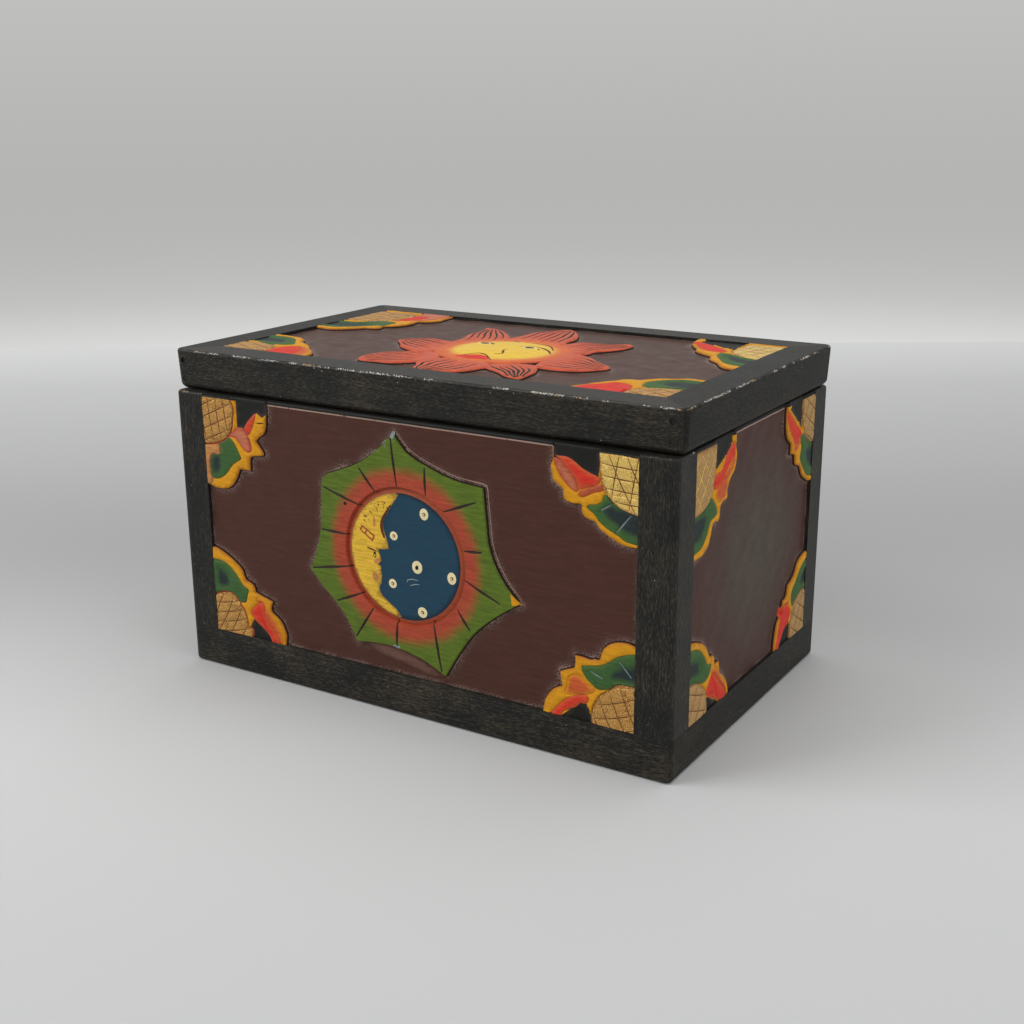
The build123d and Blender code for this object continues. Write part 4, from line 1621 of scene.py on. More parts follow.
SIDE_TOP_BACK = CornerLeaves(
    border=(
        (68, 136, 1), (25.2, 136, 1), (25.4, 128.8), (25.8, 122.5), (28.5, 117.5), (32.3, 114.4),
        (32.3, 110, 1), (37.3, 108.5), (38.5, 104.4), (44.1, 101.9), (47.3, 97.5), (52.3, 94.4),
        (57.3, 92.3), (62.3, 93.4), (68, 93.6, 1),
    ),
    areas=(
        (Paint.LEAF_GREEN, (
            (44.1, 116.3), (44.1, 110), (42.9, 106.3), (46, 102.5), (51, 97.5), (57.3, 94.8),
            (68, 95.6, 1), (68, 114, 1),
        ), LEAF),
        (Paint.SLATE, (
            (50, 108), (50.6, 104), (55, 99.6), (68, 98.6, 1), (68, 108.6, 1), (56, 109.6),
        ), SOFT),
        (Paint.BLACK, (
            (30, 136, 1), (44.6, 136, 1), (44.4, 119.6, 1), (36, 126), (30, 130.4, 1),
        ), DEEP),
        (Paint.ORANGE, (
            (27, 128.8), (27.4, 123), (30, 118.4), (34.4, 114.6), (35, 111), (39, 109.6), (43.4, 114.6),
            (36, 122),
        ), LEAF),
        (Paint.RED, (
            (26, 129.8), (31, 127.5), (37.3, 122.5), (44.1, 117.5), (42.3, 115), (37.3, 113.8),
            (32.3, 118.8), (27.9, 123.8),
        ), LEAF),
        (Paint.SIDE_GOLD, (
            (44.1, 133, 1), (68, 133, 1), (68, 110.8, 1), (63.5, 110.6), (58.5, 110), (52.3, 112.5),
            (47.3, 116.3), (44.8, 121.3),
        ), SCROLL),
    ),
    net=((62, 6.0, 1.0), (-30, 6.4, 1.0)),
    shift=(4.5, -2.7),
)

SIDE_BOTTOM_FRONT = CornerLeaves(
    border=(
        (-68, 12, 1), (-26.2, 12, 1), (-25.9, 18.5, 1), (-25.3, 20.6), (-27.1, 25.6), (-30.3, 29.4),
        (-34.6, 32.5, 1), (-35.9, 38.1, 1), (-40.3, 38.1, 1), (-41.5, 42.5), (-44.6, 43.1),
        (-47.1, 45.6), (-50.3, 50), (-56.5, 53.1), (-62.8, 55), (-68, 55.4, 1),
    ),
    areas=(
        (Paint.LEAF_GREEN, (
            (-68, 51.9, 1), (-62.1, 51.9), (-55.3, 49.4), (-50.3, 45), (-47.1, 40.6), (-43.4, 38.8),
            (-49, 33.8), (-58, 36), (-68, 36, 1),
        ), LEAF),
        (Paint.SLATE, ((-68, 48, 1), (-58, 46.6), (-54, 42.6), (-56, 39.4), (-68, 40, 1)), SOFT),
        (Paint.BLACK, ((-46.6, 26.4), (-41.5, 23.4), (-35.3, 20), (-33, 16), (-46.4, 16)), DEEP),
        (Paint.ORANGE, (
            (-44, 37.6), (-38.6, 36.4), (-33, 30.6), (-28.4, 25.4), (-26.8, 17), (-34, 18), (-40, 28),
        ), LEAF),
        (Paint.RED, (
            (-47.8, 30), (-42.8, 35), (-37.8, 31.3), (-32.8, 26.9), (-29, 22.5), (-29, 17),
            (-35.3, 20.6), (-41.5, 23.8), (-46.5, 26.3),
        ), LEAF),
        (Paint.SIDE_GOLD, (
            (-68, 37.5, 1), (-59, 36.9), (-52.8, 33.8), (-48.4, 29.4), (-46.5, 20), (-46.5, 15, 1),
            (-68, 15, 1),
        ), SCROLL),
    ),
    net=((60, 6.4, 1.0), (-20, 6.4, 1.0)),
    shift=(2.0, -1.8),
)

SIDE_BOTTOM_BACK = CornerLeaves(
    border=(
        (68, 12, 1), (24.6, 12, 1), (24.8, 19.4, 1), (25.4, 23.8), (27.9, 30), (32.3, 33.1, 1),
        (33.5, 38.8, 1), (37.3, 39.4), (38.5, 44.4, 1), (46, 46.9), (49.8, 51.9), (56, 54.4),
        (61.6, 55), (68, 55, 1),
    ),
    areas=(
        (Paint.LEAF_GREEN, (
            (68, 52, 1), (61.6, 51.9), (53.5, 48.8), (47.3, 43.8), (42.9, 38.8), (45.6, 32.6), (56, 36),
            (68, 37, 1),
        ), LEAF),
        (Paint.SLATE, ((68, 48.4, 1), (58, 46.6), (53, 42.4), (55, 39.4), (68, 40, 1)), SOFT),
        (Paint.BLACK, ((36, 23.8), (41, 26.3), (43.4, 24), (43, 16), (31, 16)), DEEP),
        (Paint.ORANGE, (
            (40.6, 38), (34.6, 36.6), (30, 30.4), (27, 24), (26, 17), (31, 18), (37, 27),
        ), LEAF),
        (Paint.RED, (
            (33.5, 36.3), (43.5, 31.3), (41, 26.3), (36, 23.8), (31, 18.1), (29, 16), (26.4, 17),
            (29, 26),
        ), LEAF),
        (Paint.SIDE_GOLD, (
            (42.9, 15, 1), (43.5, 26.3), (46, 32.5), (52.3, 36.3), (59.8, 37.5), (68, 37.5, 1),
            (68, 15, 1),
        ), SCROLL),
    ),
    net=((60, 6.0, 1.0), (-30, 6.0, 1.0)),
    shift=(3.0, 1.0),
)


LID_BACK_LEFT = CornerLeaves(
    border=(
        (-116, 70, 1), (-66.4, 70, 1), (-65.8, 58.2), (-65, 52.3), (-69, 47.6), (-73.3, 45.7, 1),
        (-72.4, 37), (-75, 28.2), (-80, 24, 1), (-78.3, 18.2), (-85, 15.7, 1), (-91, 8.6), (-97.5, 4),
        (-105, 5), (-116, 7, 1),
    ),
    areas=(
        (Paint.LEAF_GREEN, (
            (-116, 30, 1), (-100, 28), (-88, 37), (-80, 36), (-79, 27), (-84, 20), (-92, 12), (-99, 8),
            (-116, 10, 1),
        ), LEAF),
        (Paint.SLATE, (
            (-116, 25, 1), (-101, 24), (-92, 27), (-87, 25), (-91, 18), (-100, 13), (-116, 14, 1),
        ), SOFT),
        (Paint.SALMON, (
            (-84, 62), (-84, 56), (-86.6, 42), (-81, 40), (-75.6, 45), (-70, 49.6), (-68, 56),
            (-69, 70), (-84, 70),
        ), LEAF),
        (Paint.RED, ((-83.6, 53), (-85, 43), (-79, 42), (-76, 47), (-74, 56), (-80, 60)), LEAF),
        (Paint.GOLD, (
            (-116, 66, 1), (-85.4, 66, 1), (-84.6, 59.8), (-82.5, 54), (-83, 46), (-85.8, 39),
            (-92, 33.6), (-100, 30.7), (-116, 30, 1),
        ), SCROLL),
    ),
    net=((70, 6.4, 1.0), (-20, 6.4, 1.0)),
)

LID_FRONT_LEFT = CornerLeaves(
    border=(
        (-116, -70, 1), (-60.4, -70, 1), (-60.8, -62.7), (-62, -57), (-65, -52.7), (-71.7, -46, 1),
        (-76.7, -40.2), (-85, -34.3, 1), (-88, -29), (-91.7, -26), (-96.7, -24.3), (-104, -23.4),
        (-116, -24, 1),
    ),
    areas=(
        (Paint.LEAF_GREEN, (
            (-116, -26.4, 1), (-103.3, -27), (-95, -27.7), (-86.7, -37.7), (-83.3, -44.3), (-92, -47.6),
            (-104, -44.6), (-116, -46, 1),
        ), LEAF),
        (Paint.SLATE, (
            (-116, -31, 1), (-103, -31.4), (-96, -33), (-91, -40), (-98, -42.6), (-116, -42, 1),
        ), SOFT),
        (Paint.ORANGE, (
            (-85, -70, 1), (-86, -58), (-85.4, -50.6), (-81, -45.6), (-75, -44.6), (-68, -51),
            (-63.6, -58), (-63, -70, 1),
        ), LEAF),
        (Paint.RED, (
            (-83.6, -49), (-78, -46.6), (-72, -52), (-68.6, -62), (-69, -70), (-78, -70), (-84, -62),
        ), LEAF),
        (Paint.GOLD, (
            (-116, -66, 1), (-116, -47.4, 1), (-106.7, -47), (-96.7, -46), (-87.5, -51), (-85.4, -57),
            (-85, -66, 1),
        ), SCROLL),
    ),
    net=((60, 6.4, 1.0), (-30, 6.4, 1.0)),
)

LID_BACK_RIGHT = CornerLeaves(
    border=(
        (116, 70, 1), (67.6, 70, 1), (69.2, 59), (71.7, 52.3), (77.5, 44, 1), (78.6, 39.4),
        (81.7, 35.7), (90, 29, 1), (92.6, 21.6), (98.3, 15.7), (102.6, 9), (106.7, 5.7), (116, 5, 1),
    ),
    areas=(
        (Paint.LEAF_GREEN, (
            (91.7, 39), (91.7, 32.3), (96, 24.6), (103.3, 14), (116, 9, 1), (116, 30, 1), (104, 33),
        ), LEAF),
        (Paint.SLATE, ((97, 34), (97, 28.6), (103, 21), (116, 15, 1), (116, 27, 1), (106, 29)), SOFT),
        (Paint.BLACK, ((72, 70, 1), (92.6, 70, 1), (92.6, 49, 1), (84, 54), (72, 60)), DEEP),
        (Paint.RED, ((69.4, 60), (78.3, 56.4), (91.7, 44.6), (90.6, 39), (81.7, 41), (75.4, 50)), LEAF),
        # This quarter takes the lighter gold copy, a painted highlight.
        (Paint.PALE_GOLD, (
            (93.3, 66, 1), (93.3, 55.7), (93, 46), (96.7, 39), (105, 31.7), (116, 27.6, 1),
            (116, 66, 1),
        ), SCROLL),
    ),
    net=((70, 6.0, 1.0), (-20, 6.4, 1.0)),
)

LID_FRONT_RIGHT = CornerLeaves(
    border=(
        (116, -70, 1), (68, -70, 1), (69.6, -63), (71.7, -58), (75, -50), (79.2, -43.5, 1), (82, -38.6),
        (87.5, -36.8, 1), (91.7, -31.4), (98.3, -27), (103.3, -24), (116, -25, 1),
    ),
    areas=(
        (Paint.LEAF_GREEN, (
            (91.7, -37.7), (98.3, -30), (103.3, -27), (116, -27.7, 1), (116, -46, 1), (100, -47.7),
            (95, -49.3), (92, -44),
        ), LEAF),
        (Paint.SLATE, ((97.6, -38), (103, -32), (116, -32, 1), (116, -43, 1), (102, -43.6)), SOFT),
        (Paint.RED, (
            (72, -70), (73.3, -56), (78, -50.6), (81.6, -46), (88, -47), (91, -52), (93.3, -70),
        ), LEAF),
        (Paint.GOLD, (
            (95, -51), (104, -46.8), (116, -45.2, 1), (116, -66, 1), (91.7, -66, 1), (92, -57),
        ), SCROLL),
    ),
    net=((60, 6.0, 1.0), (-30, 6.0, 1.0)),
)


@dataclass
class LaughingSun:
    """An orange sun with eight petals and a round yellow face."""

    centre: tuple = (7.0, -7.0)
    radius: float = 25.8
    rise: float = 1.4
    petals: tuple = (
        (
            (-24.5, 2), (-26.7, 13.2), (-30.3, 24), (-30.8, 37.3), (-33.7, 46.5, 1), (-25, 44),
            (-16.7, 36.5), (-10, 28.2), (-5.6, 18),
        ),
        (
            (-5.6, 20), (-6.3, 35.7), (-5.8, 45.7), (-0.8, 54), (4.2, 62, 1), (10, 57.3), (15.8, 48.2),
            (19.2, 39), (20, 29), (21.6, 20),
        ),
        (
            (22.5, 20), (26.7, 31.5), (33, 33), (40, 33), (46.7, 38.2), (50, 35.7), (50, 27.3), (46.7, 19),
            (42.5, 14), (41.7, 5.7), (36, 0),
        ),
        (
            (34, 2), (46.7, -1), (55, -9.3), (64.2, -16.8), (65.8, -21, 1), (60, -29.3), (51.7, -33.5),
            (43.3, -34.3), (36, -31),
        ),
        (
            (34, -30), (42.5, -41), (44.2, -51), (44.7, -59.7, 1), (36.7, -56.8), (30, -51), (21.7, -46),
            (16, -40),
        ),
        (
            (19, -38), (17.5, -54.3), (11.7, -61), (6.7, -62.4), (0, -62.2), (-5, -61.4), (-8.3, -54.3),
            (-11, -50), (-9, -36),
        ),
        (
            (-8, -40), (-18.3, -55.2), (-27, -57.4), (-35, -57.7), (-39.2, -52.7), (-38.3, -39.3),
            (-31.7, -31.8), (-20, -24),
        ),
        (
            (-22, -26), (-38.3, -21), (-44, -13.6), (-50, -6.8, 1), (-47.5, -1), (-40, 4.8), (-31.7, 4),
            (-22, 0),
        ),
    )
    tips: tuple = (4, 4, 4, 4, 3, 4, 3, 3)
    lanes: tuple = (0.16, 0.3, 0.44, 0.58, 0.72, 0.86)
    glow: tuple = (-0.5, 7.5)
    lines: tuple = (
        (((-9.6, 8), (-8.2, 5), (-5, 2.4), (-1.7, -1)), (0.5, 1.6, 1.0), Paint.CHESTNUT),
        (((13.3, 3.4), (18, 4.2), (25, 0.9), (29.2, -4.3)), (0.6, 1.7, 0.8), Paint.CHESTNUT),
        (((5, 16.5), (13, 15.6), (20, 12.3), (26.7, 3.2)), (0.4, 1.2, 0.5), Paint.CHESTNUT),
        (((-1.7, 17.3), (3.3, 14.8)), (0.5, 1.2, 0.5), Paint.BLACK),
        (((10.4, -9), (10.8, -13.5), (13.3, -19.3), (10, -20.6)), (0.4, 1.1, 0.6), Paint.CHESTNUT),
        (((-5.6, -28.6), (1.7, -23.3), (4.2, -22.4), (8.3, -24.3), (14.4, -30.4)), (0.4, 1.0, 0.5),
         Paint.CHESTNUT),
    )
    eyes: tuple = ((-6.7, 0.0), (17.5, -1.8))
    lips: Outline = (
        (-4.2, -29.3), (1.7, -24.3), (4.2, -23.2), (8.3, -25), (13.3, -30.2), (6.7, -32.4), (-0.8, -31.8)
    )

    def carving(self) -> Carving:
        """Makes the whole figure.

        Returns:
            The carving.
        """
        made = Carving()
        collar = ring(self.centre, (self.radius + 5.5, self.radius + 4.0))
        outlines = [collar] + [smooth_outline(points) for points in self.petals]
        halo = (self.centre, self.radius + self.glow[0], self.radius + self.glow[1])
        made.islands += outlines
        made.patches += [skirted(outline) for outline in outlines]
        made.patches += [Patch(Paint.PETAL, outline, -0.3, 0.3, 2.0, halo=halo) for outline in outlines[1:]]
        made.patches.append(Patch(Paint.PETAL, collar, -0.1, 0.1, 3.0, halo=halo))
        for number, (points, tip) in enumerate(zip(self.petals, self.tips)):
            made.grooves += self.strokes(points, tip, number)
        face = ring(self.centre, (self.radius, self.radius))
        made.patches.append(Patch(Paint.FACE, face, 0.0, self.rise, 18.0, fade=5.5))
        made.add(self.features())
        return made

    def strokes(self, points: Outline, tip: int, number: int) -> list:
        """Makes the dark gouge strokes along one petal.

        Args:
            points: The petal's edge.
            tip: Number of the point at its tip.
            number: Number of the petal.

        Returns:
            The strokes.
        """
        chance = np.random.default_rng(70 + number)
        first = smooth_outline(points[: tip + 1], 1.0, closed=False)
        last = smooth_outline(points[tip:], 1.0, closed=False)[::-1]
        share = np.linspace(0, 1, 18)
        sides = []
        for side in (first, last):
            steps = np.linalg.norm(np.diff(side, axis=0), axis=1)
            run = np.concatenate([[0], np.cumsum(steps)])
            sides.append(np.column_stack([np.interp(share * run[-1], run, side[:, k]) for k in range(2)]))
        made = []
        for across in self.lanes:
            start, end = chance.uniform(0.02, 0.22), chance.uniform(0.84, 0.94) - 0.1 * abs(across - 0.5)
            path = sides[0] * (1 - across) + sides[1] * across
            keep = (share >= start) & (share <= end)
            made.append(Groove(path[keep], chance.uniform(0.9, 1.4), 0.4, Paint.STROKE))
        return made

    def features(self) -> Carving:
        """Makes the eyes, brows, nose and mouth.

        Returns:
            Their patches and lines.
        """
        made = Carving()
        for line, widths, paint in self.lines:
            path = smooth_outline(line, 1.0, closed=False)
            ends = tuple(width / max(widths) for width in widths)
            made.grooves.append(Groove(path, max(widths), 0.25, paint, ends))
        for middle in self.eyes:
            made.patches.append(self.on_dome(Paint.CREAM, ring(middle, (3.6, 2.0), 0.7)))
            made.patches.append(self.on_dome(Paint.BLACK, ring(middle, (2.3, 1.7), 0.6)))
            lid = ring(middle, (4.4, 2.7), 0.7)
            made.grooves.append(Groove(lid[: len(lid) // 2 + 2], 1.1, 0.25, Paint.STROKE, (0.4, 1.0, 0.4)))
        made.patches.append(self.on_dome(Paint.RED, smooth_outline(self.lips)))
        return made

    def on_dome(self, paint: Paint, outline: np.ndarray) -> Patch:
        """Makes a painted feature that lies on the dome of the face.

        Args:
            paint: Its colour.
            outline: Its edge.

        Returns:
            The patch, at the height of the dome there.
        """
        deep = self.radius - float(np.linalg.norm(outline.mean(0) - np.array(self.centre)))
        level = self.rise * float(ease(np.array([deep / 15.0]))[0])
        return Patch(paint, outline, level - 0.05, 0.1, 1.0)


# The pieces of the box


def span(*names: str) -> tuple:
    """Measures the box round several CAD nodes.

    Args:
        names: The nodes.

    Returns:
        Its lower and its upper corner.
    """
    boxes = [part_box(name) for name in names]
    low = Vector(tuple(min(box[0][k] for box in boxes) for k in range(3)))
    high = Vector(tuple(max(box[1][k] for box in boxes) for k in range(3)))
    return low, high


@dataclass
class Sizes:
    """The main sizes of the box, taken from its frame, in metres."""

    body_low: Vector
    body_high: Vector
    post_inner: Vector
    base_top: float
    lid_low: Vector
    lid_high: Vector
    lid_window_low: Vector
    lid_window_high: Vector

    @classmethod
    def from_frame(cls) -> "Sizes":
        """Reads the sizes off the CAD nodes.

        Returns:
            The sizes.
        """
        base = span("base_front_rail", "base_back_rail", "base_left_rail", "base_right_rail")
        posts = span("front_left_post", "front_right_post", "back_left_post", "back_right_post")
        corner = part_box("front_right_post")
        lid = span("lid_front_rail", "lid_back_rail", "lid_left_rail", "lid_right_rail")
        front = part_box("lid_front_rail")
        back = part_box("lid_back_rail")
        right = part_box("lid_right_rail")
        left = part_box("lid_left_rail")
        return cls(
            body_low=base[0],
            body_high=Vector((base[1].x, base[1].y, posts[1].z)),
            post_inner=Vector((corner[0].x, corner[1].y, 0)),
            base_top=base[1].z,
            lid_low=lid[0],
            lid_high=lid[1],
            lid_window_low=Vector((left[1].x, front[1].y, 0)),
            lid_window_high=Vector((right[0].x, back[0].y, 0)),
        )


@dataclass
class Walls:
    """The four carved walls of the body."""

    sizes: Sizes
    palette: Palette
    recess: float = 1.6
    thickness: float = 10.6
    tongue: tuple = (5.2, 9.2)
    overlap: float = 6.0
    field: tuple = (0, 140)
    # Centre, inner and outer radius of the painted reflection on the side walls.
    side_painted_reflection: tuple = ((4.0, 72.0), 8.0, 62.0)
    pale_strip: tuple = (2.1, 1.5)
    # Width of the black band along the top of each wall: painted shadow under the lid.
    lid_gap_painted_shadow: float = 3.0
    star_fit: tuple = (0.989, 0.976)
    star_shift: tuple = (-1.6, 0.1)

    def window(self, half: float) -> Window:
        """Gives the open area of a wall from half its width."""
        low = (-half / MM, self.sizes.base_top / MM)
        return Window(low, (half / MM, self.sizes.body_high.z / MM), open_top=True)

    def board(
        self, side: str, origin: tuple, along: tuple, half: float, carving: Carving, seed: int
    ) -> CarvedBoard:
        """Describes one wall.

        Args:
            side: Which wall it is.
            origin: Where its plane starts.
            along: Direction along the wall, rightwards as seen from outside.
            half: Half the width of its open area.
            carving: Its figures.
            seed: Picks its irregularities.

        Returns:
            The board.
        """
        return CarvedBoard(
            name=f"{side}_panel_carved", node=f"{side}_panel", body="box", origin=Vector(origin),
            along=Vector(along), across=Vector((0, 0, 1)), window=self.window(half), carving=carving,
            ground=Paint.FIELD, thickness=self.thickness, recess=self.recess, tongue=self.tongue, seed=seed,
        )

    def build(self) -> None:
        """Makes the four walls."""
        low, high = self.sizes.body_low, self.sizes.body_high
        wide, deep = self.sizes.post_inner.x, -self.sizes.post_inner.y
        front, back, right, left = Carving(), Carving(), Carving(), Carving()
        for corner in (FRONT_TOP_LEFT, FRONT_BOTTOM_LEFT, FRONT_TOP_RIGHT, FRONT_BOTTOM_RIGHT):
            front.add(corner.carving())
            back.add(corner.carving().moved(flip=(-1, 1)))
        for corner in (SIDE_TOP_FRONT, SIDE_TOP_BACK, SIDE_BOTTOM_FRONT, SIDE_BOTTOM_BACK):
            right.add(corner.carving())
            left.add(corner.carving().moved(flip=(-1, 1)))
        front.add(NightStar().carving().moved(flip=self.star_fit, shift=self.star_shift))
        rim = high.z / MM
        for narrow in (right, left):
            ground = self.strip(deep, *self.field)
            # Painted reflection: the side walls turn greyer round their middles.
            narrow.patches.insert(0, area(Paint.SIDE_FIELD, ground, halo=self.side_painted_reflection))
        for carving, half, lowest in ((front, wide, 0), (back, wide, 0), (right, deep, 1), (left, deep, 1)):
            line = self.strip(half, rim - self.pale_strip[0], rim - self.pale_strip[1])
            carving.patches.insert(lowest, area(Paint.PALE_LINE, line))
            # Painted shadow of the lid: a black band along the top edge of each wall.
            edge = np.array([(point[0], rim) for point in line[:2]])
            carving.grooves.append(Groove(edge, self.lid_gap_painted_shadow, 0.0, Paint.BLACK, (1.0, 1.0)))
        for side, origin, along, half, carving, seed in (
            ("front", (0, low.y, 0), (1, 0, 0), wide, front, 1),
            ("right", (high.x, 0, 0), (0, 1, 0), deep, right, 2),
            ("back", (0, high.y, 0), (-1, 0, 0), wide, back, 3),
            ("left", (low.x, 0, 0), (0, -1, 0), deep, left, 4),
        ):
            self.board(side, origin, along, half, carving, seed).build(self.palette)

    def strip(self, half: float, low: float, high: float) -> tuple:
        """Gives the corners of a strip across a whole wall.

        Args:
            half: Half the width of the wall's open area, in metres.
            low: Height of its lower edge in millimetres.
            high: Height of its upper edge.

        Returns:
            The four corners, anticlockwise.
        """
        reach = half / MM + self.overlap
        return ((-reach, low, 1), (reach, low, 1), (reach, high, 1), (-reach, high, 1))


@dataclass
class LidBoard:
    """The carved board of the lid."""

    sizes: Sizes
    palette: Palette
    recess: float = 1.5
    thickness: float = 13.7
    tongue: tuple = (6.7, 10.7)
    drawn_half: tuple = (109.0, 66.0)
    shift: tuple = (-1.9, -1.5)

    def build(self) -> None:
        """Makes the board with its sun and its four corners."""
        low, high = self.sizes.lid_window_low, self.sizes.lid_window_high
        half = ((high.x - low.x) / 2 / MM, (high.y - low.y) / 2 / MM)
        carving = LaughingSun().carving()
        for corner in (LID_BACK_LEFT, LID_FRONT_LEFT, LID_BACK_RIGHT, LID_FRONT_RIGHT):
            carving.add(corner.carving())
        fit = (half[0] / self.drawn_half[0], half[1] / self.drawn_half[1])
        CarvedBoard(
            name="lid_board_carved", node="lid_board", body="lid",
            origin=Vector((0, (low.y + high.y) / 2, self.sizes.lid_high.z)), along=Vector((1, 0, 0)),
            across=Vector((0, 1, 0)), window=Window((-half[0], -half[1]), half),
            carving=carving.moved(flip=fit, shift=self.shift),
            ground=Paint.LID_FIELD, thickness=self.thickness, recess=self.recess, tongue=self.tongue, seed=5,
        ).build(self.palette)


@dataclass
class Joinery:
    """The rails, posts, floor and metal fittings, which keep their CAD shapes."""

    sizes: Sizes
    shine: tuple = (0.18, 0.1)
    # Brown showing through on the front and back rails, then on the left and right rails; the lower second
    # value darkens the sides as painted shade.
    base_brown_side_shade: tuple = (0.65, 0.35)
    lid_brown_side_shade: tuple = (0.5, 0.2)

    def dress(self, names: Sequence[str], material: bpy.types.Material) -> None:
        """Gives CAD nodes a material.

        Args:
            names: The nodes.
            material: What they are finished with.
        """
        for name in names:
            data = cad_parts[name].data
            data.materials.clear()
            data.materials.append(material)
            log.info("%s: %s", name, material.name)

    def build(self) -> None:
        """Dresses every node."""
        body = (tuple(self.sizes.body_low), tuple(self.sizes.body_high))
        lid = (tuple(self.sizes.lid_low), tuple(self.sizes.lid_high))
        for name, place, chips, brown in (
            ("base", body, 0.35, self.base_brown_side_shade), ("lid", lid, 0.75, self.lid_brown_side_shade)
        ):
            for axis, pair in enumerate((("front", "back"), ("left", "right"))):
                # Less brown on the left and right rails makes them darker: painted shade on those sides, on
                # top of the brown wear.
                worn = {"chips": chips, "brown": brown[axis], "shine": self.shine[axis]}
                paint = FramePaint(*place, lengthwise=axis, **worn)
                self.dress([f"{name}_{side}_rail" for side in pair], paint.material(f"{name}_paint_{axis}"))
        posts = [f"{depth}_{side}_post" for depth in ("front", "back") for side in ("left", "right")]
        upright = FramePaint(*body, lengthwise=2, chips=0.4, brown=0.42).material("post_paint")
        self.dress(posts, upright)
        self.dress(["floor_board"], StainedWood().material("stained_floor"))
        brass = WornMetal((0.5, 0.33, 0.12), (0.2, 0.13, 0.055)).material("worn_brass")
        steel = WornMetal((0.16, 0.15, 0.14), (0.07, 0.045, 0.03), 0.5).material("dull_steel")
        parts = ("body_leaf", "lid_leaf", "pin")
        hinges = [f"{side}_hinge_{part}" for side in ("left", "right") for part in parts]
        self.dress(hinges + ["hinge_body_screws", "hinge_lid_screws"], brass)
        self.dress(["floor_nails"], steel)
        self.dress(["panel_pins"], upright)
        for nails, place, name in (
            ("base_nails", body, "painted_nail_heads"), ("lid_nails", lid, "painted_lid_nails")
        ):
            self.dress([nails], FramePaint(*place, lengthwise=0, chips=0, brown=0.3).material(name))


# Surroundings


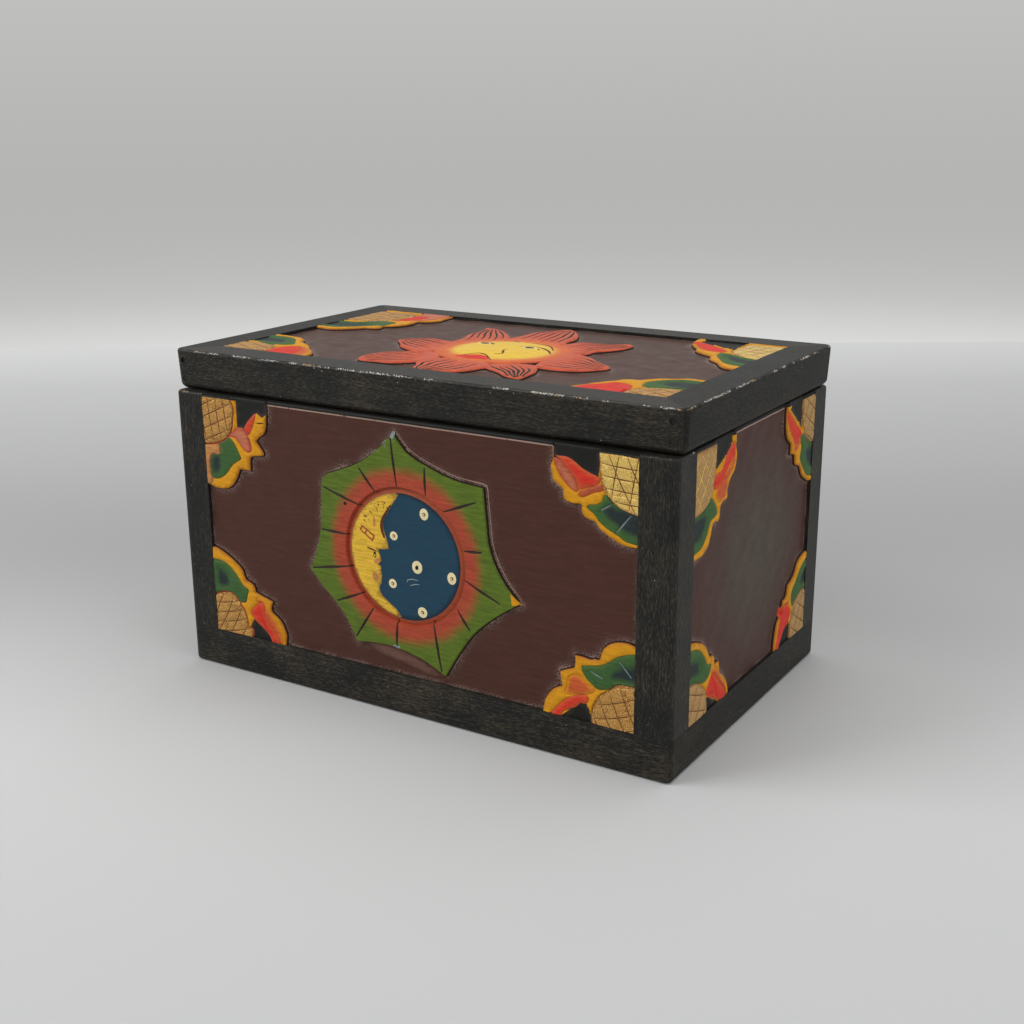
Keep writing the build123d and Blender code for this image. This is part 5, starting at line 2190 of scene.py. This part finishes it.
@dataclass
class Studio:
    """The camera, the lights and the pale surroundings of the photograph."""

    place: tuple = (0.33062, -0.52402, 0.2581)
    turn: float = 31.88
    tilt: float = 16.74
    roll: float = -0.38
    lens: float = 48.91
    sensor: float = 36.0
    aim: tuple = (0, 0, 0.08)
    reach: float = 4
    edge: float = 0.86
    # Grey tones of the ground along the view, with painted light and shade: a darker band behind the box and
    # brighter bands further back.
    floor_light_and_shade_tones: tuple = (
        (-0.35, 0.62), (-0.26, 0.62), (-0.12, 0.7), (-0.05, 0.66), (0.045, 0.54), (0.17, 0.41),
        (0.36, 0.48), (0.65, 0.64), (0.78, 0.76), (0.86, 0.82),
    )
    sky_tones: tuple = (
        (-0.18, 0.74), (-0.163, 0.7), (-0.134, 0.52), (-0.09, 0.46), (-0.03, 0.46), (0.052, 0.52),
        (0.12, 0.55), (0.3, 0.6),
    )
    ground: float = 0.95
    dome: float = 0.5
    lamps: tuple = (
        ("window_light", (-1.1, -1.0, 1.3), 1.1, 16.0),
        ("top_light", (0.1, 0.5, 1.7), 1.4, 7.0),
        ("side_fill", (1.5, -0.3, 0.8), 1.2, 6.0),
    )

    def camera(self) -> None:
        """Sets up the camera at the photograph's place."""
        turn, tilt, roll = (math.radians(angle) for angle in (self.turn, self.tilt, self.roll))
        back = Vector((math.sin(turn) * math.cos(tilt), -math.cos(turn) * math.cos(tilt), math.sin(tilt)))
        right = Vector((math.cos(turn), math.sin(turn), 0))
        up = back.cross(right)
        level = math.cos(roll) * right + math.sin(roll) * up
        upright = -math.sin(roll) * right + math.cos(roll) * up
        data = bpy.data.cameras.new("camera")
        data.lens, data.sensor_width = self.lens, self.sensor
        camera = bpy.data.objects.new("camera", data)
        turned = Matrix((level, upright, back)).transposed()
        camera.matrix_world = Matrix.Translation(Vector(self.place)) @ turned.to_4x4()
        bpy.context.scene.collection.objects.link(camera)
        bpy.context.scene.camera = camera

    def ramp(
        self, graph: Graph, value: bpy.types.NodeSocket, tones: tuple, tint: tuple
    ) -> bpy.types.NodeSocket:
        """Turns a distance into a grey tone.

        Args:
            graph: The graph to add it to.
            value: The distance.
            tones: Places with their tones, in order.
            tint: Factors on the three colours.

        Returns:
            The colour.
        """
        low, high = tones[0][0], tones[-1][0]
        share = graph.add("MapRange", {"Value": value, "From Min": low, "From Max": high}).outputs[0]
        node = graph.add("ValToRGB", {0: share})
        node.color_ramp.interpolation = "B_SPLINE"
        elements = node.color_ramp.elements
        while len(elements) < len(tones):
            elements.new(0.5)
        for element, (place, tone) in zip(elements, tones):
            element.position = (place - low) / (high - low)
            element.color = (tone * tint[0], tone * tint[1], tone * tint[2], 1)
        return node.outputs[0]

    def floor(self) -> None:
        """Makes the pale ground, which ends where the photograph's does."""
        turn = math.radians(self.turn)
        ahead = Vector((-math.sin(turn), math.cos(turn), 0))
        aside = Vector((ahead.y, -ahead.x, 0))
        reach, edge = self.reach, self.edge
        places = ((-reach, -reach), (reach, -reach), (reach, edge), (-reach, edge))
        corners = [tuple(aside * place[0] + ahead * place[1]) for place in places]
        mesh = bpy.data.meshes.new("floor")
        mesh.from_pydata(corners, [], [(0, 1, 2, 3)])
        graph = Graph(bpy.data.materials.new("pale_ground"))
        along = {0: graph.places(), 1: tuple(ahead)}
        away = graph.add("VectorMath", along, operation="DOT_PRODUCT").outputs["Value"]
        tones = tuple((place, tone * self.ground) for place, tone in self.floor_light_and_shade_tones)
        tone = self.ramp(graph, away, tones, (0.985, 1.0, 0.995))
        mesh.materials.append(graph.finish(colour=tone, roughness=0.9))
        floor = bpy.data.objects.new("floor", mesh)
        bpy.context.scene.collection.objects.link(floor)

    def sky(self) -> None:
        """Makes the soft light from all round and the pale tone behind the ground."""
        world = bpy.data.worlds.new("surroundings")
        bpy.context.scene.world = world
        graph = Graph(world)
        up = graph.add("SeparateXYZ", {0: graph.add("TexCoord").outputs["Generated"]}).outputs[2]
        seen = self.ramp(graph, up, self.sky_tones, (1.0, 1.005, 0.99))
        path = graph.add("LightPath").outputs
        watched = graph.maths("MAXIMUM", path["Is Camera Ray"], path["Is Glossy Ray"])
        tone = graph.mix(watched, (self.dome, self.dome, self.dome * 0.99), seen)
        light = graph.add("Background", {"Color": tone, "Strength": 1.0})
        graph.tree.links.new(light.outputs[0], graph.add("OutputWorld").inputs[0])

    def lamp(self, name: str, place: tuple, size: float, power: float) -> None:
        """Adds a soft square light that faces the box.

        Args:
            name: Its name.
            place: Where it stands, in metres.
            size: Length of its sides.
            power: Its power in watts.
        """
        data = bpy.data.lights.new(name, "AREA")
        data.size, data.energy = size, power
        lamp = bpy.data.objects.new(name, data)
        lamp.location = place
        lamp.rotation_mode = "QUATERNION"
        lamp.rotation_quaternion = (Vector(self.aim) - Vector(place)).to_track_quat("-Z", "Y")
        bpy.context.scene.collection.objects.link(lamp)

    def build(self) -> None:
        """Sets up everything round the box."""
        bpy.context.scene.view_settings.view_transform = "Standard"
        self.camera()
        self.floor()
        self.sky()
        for lamp in self.lamps:
            self.lamp(*lamp)


def main() -> None:
    """Builds the whole scene."""
    logging.basicConfig(level=logging.INFO, format="%(message)s")
    sizes = Sizes.from_frame()
    palette = Palette()
    Walls(sizes, palette).build()
    LidBoard(sizes, palette).build()
    Joinery(sizes).build()
    Studio().build()


if __name__ == "__main__":
    main()
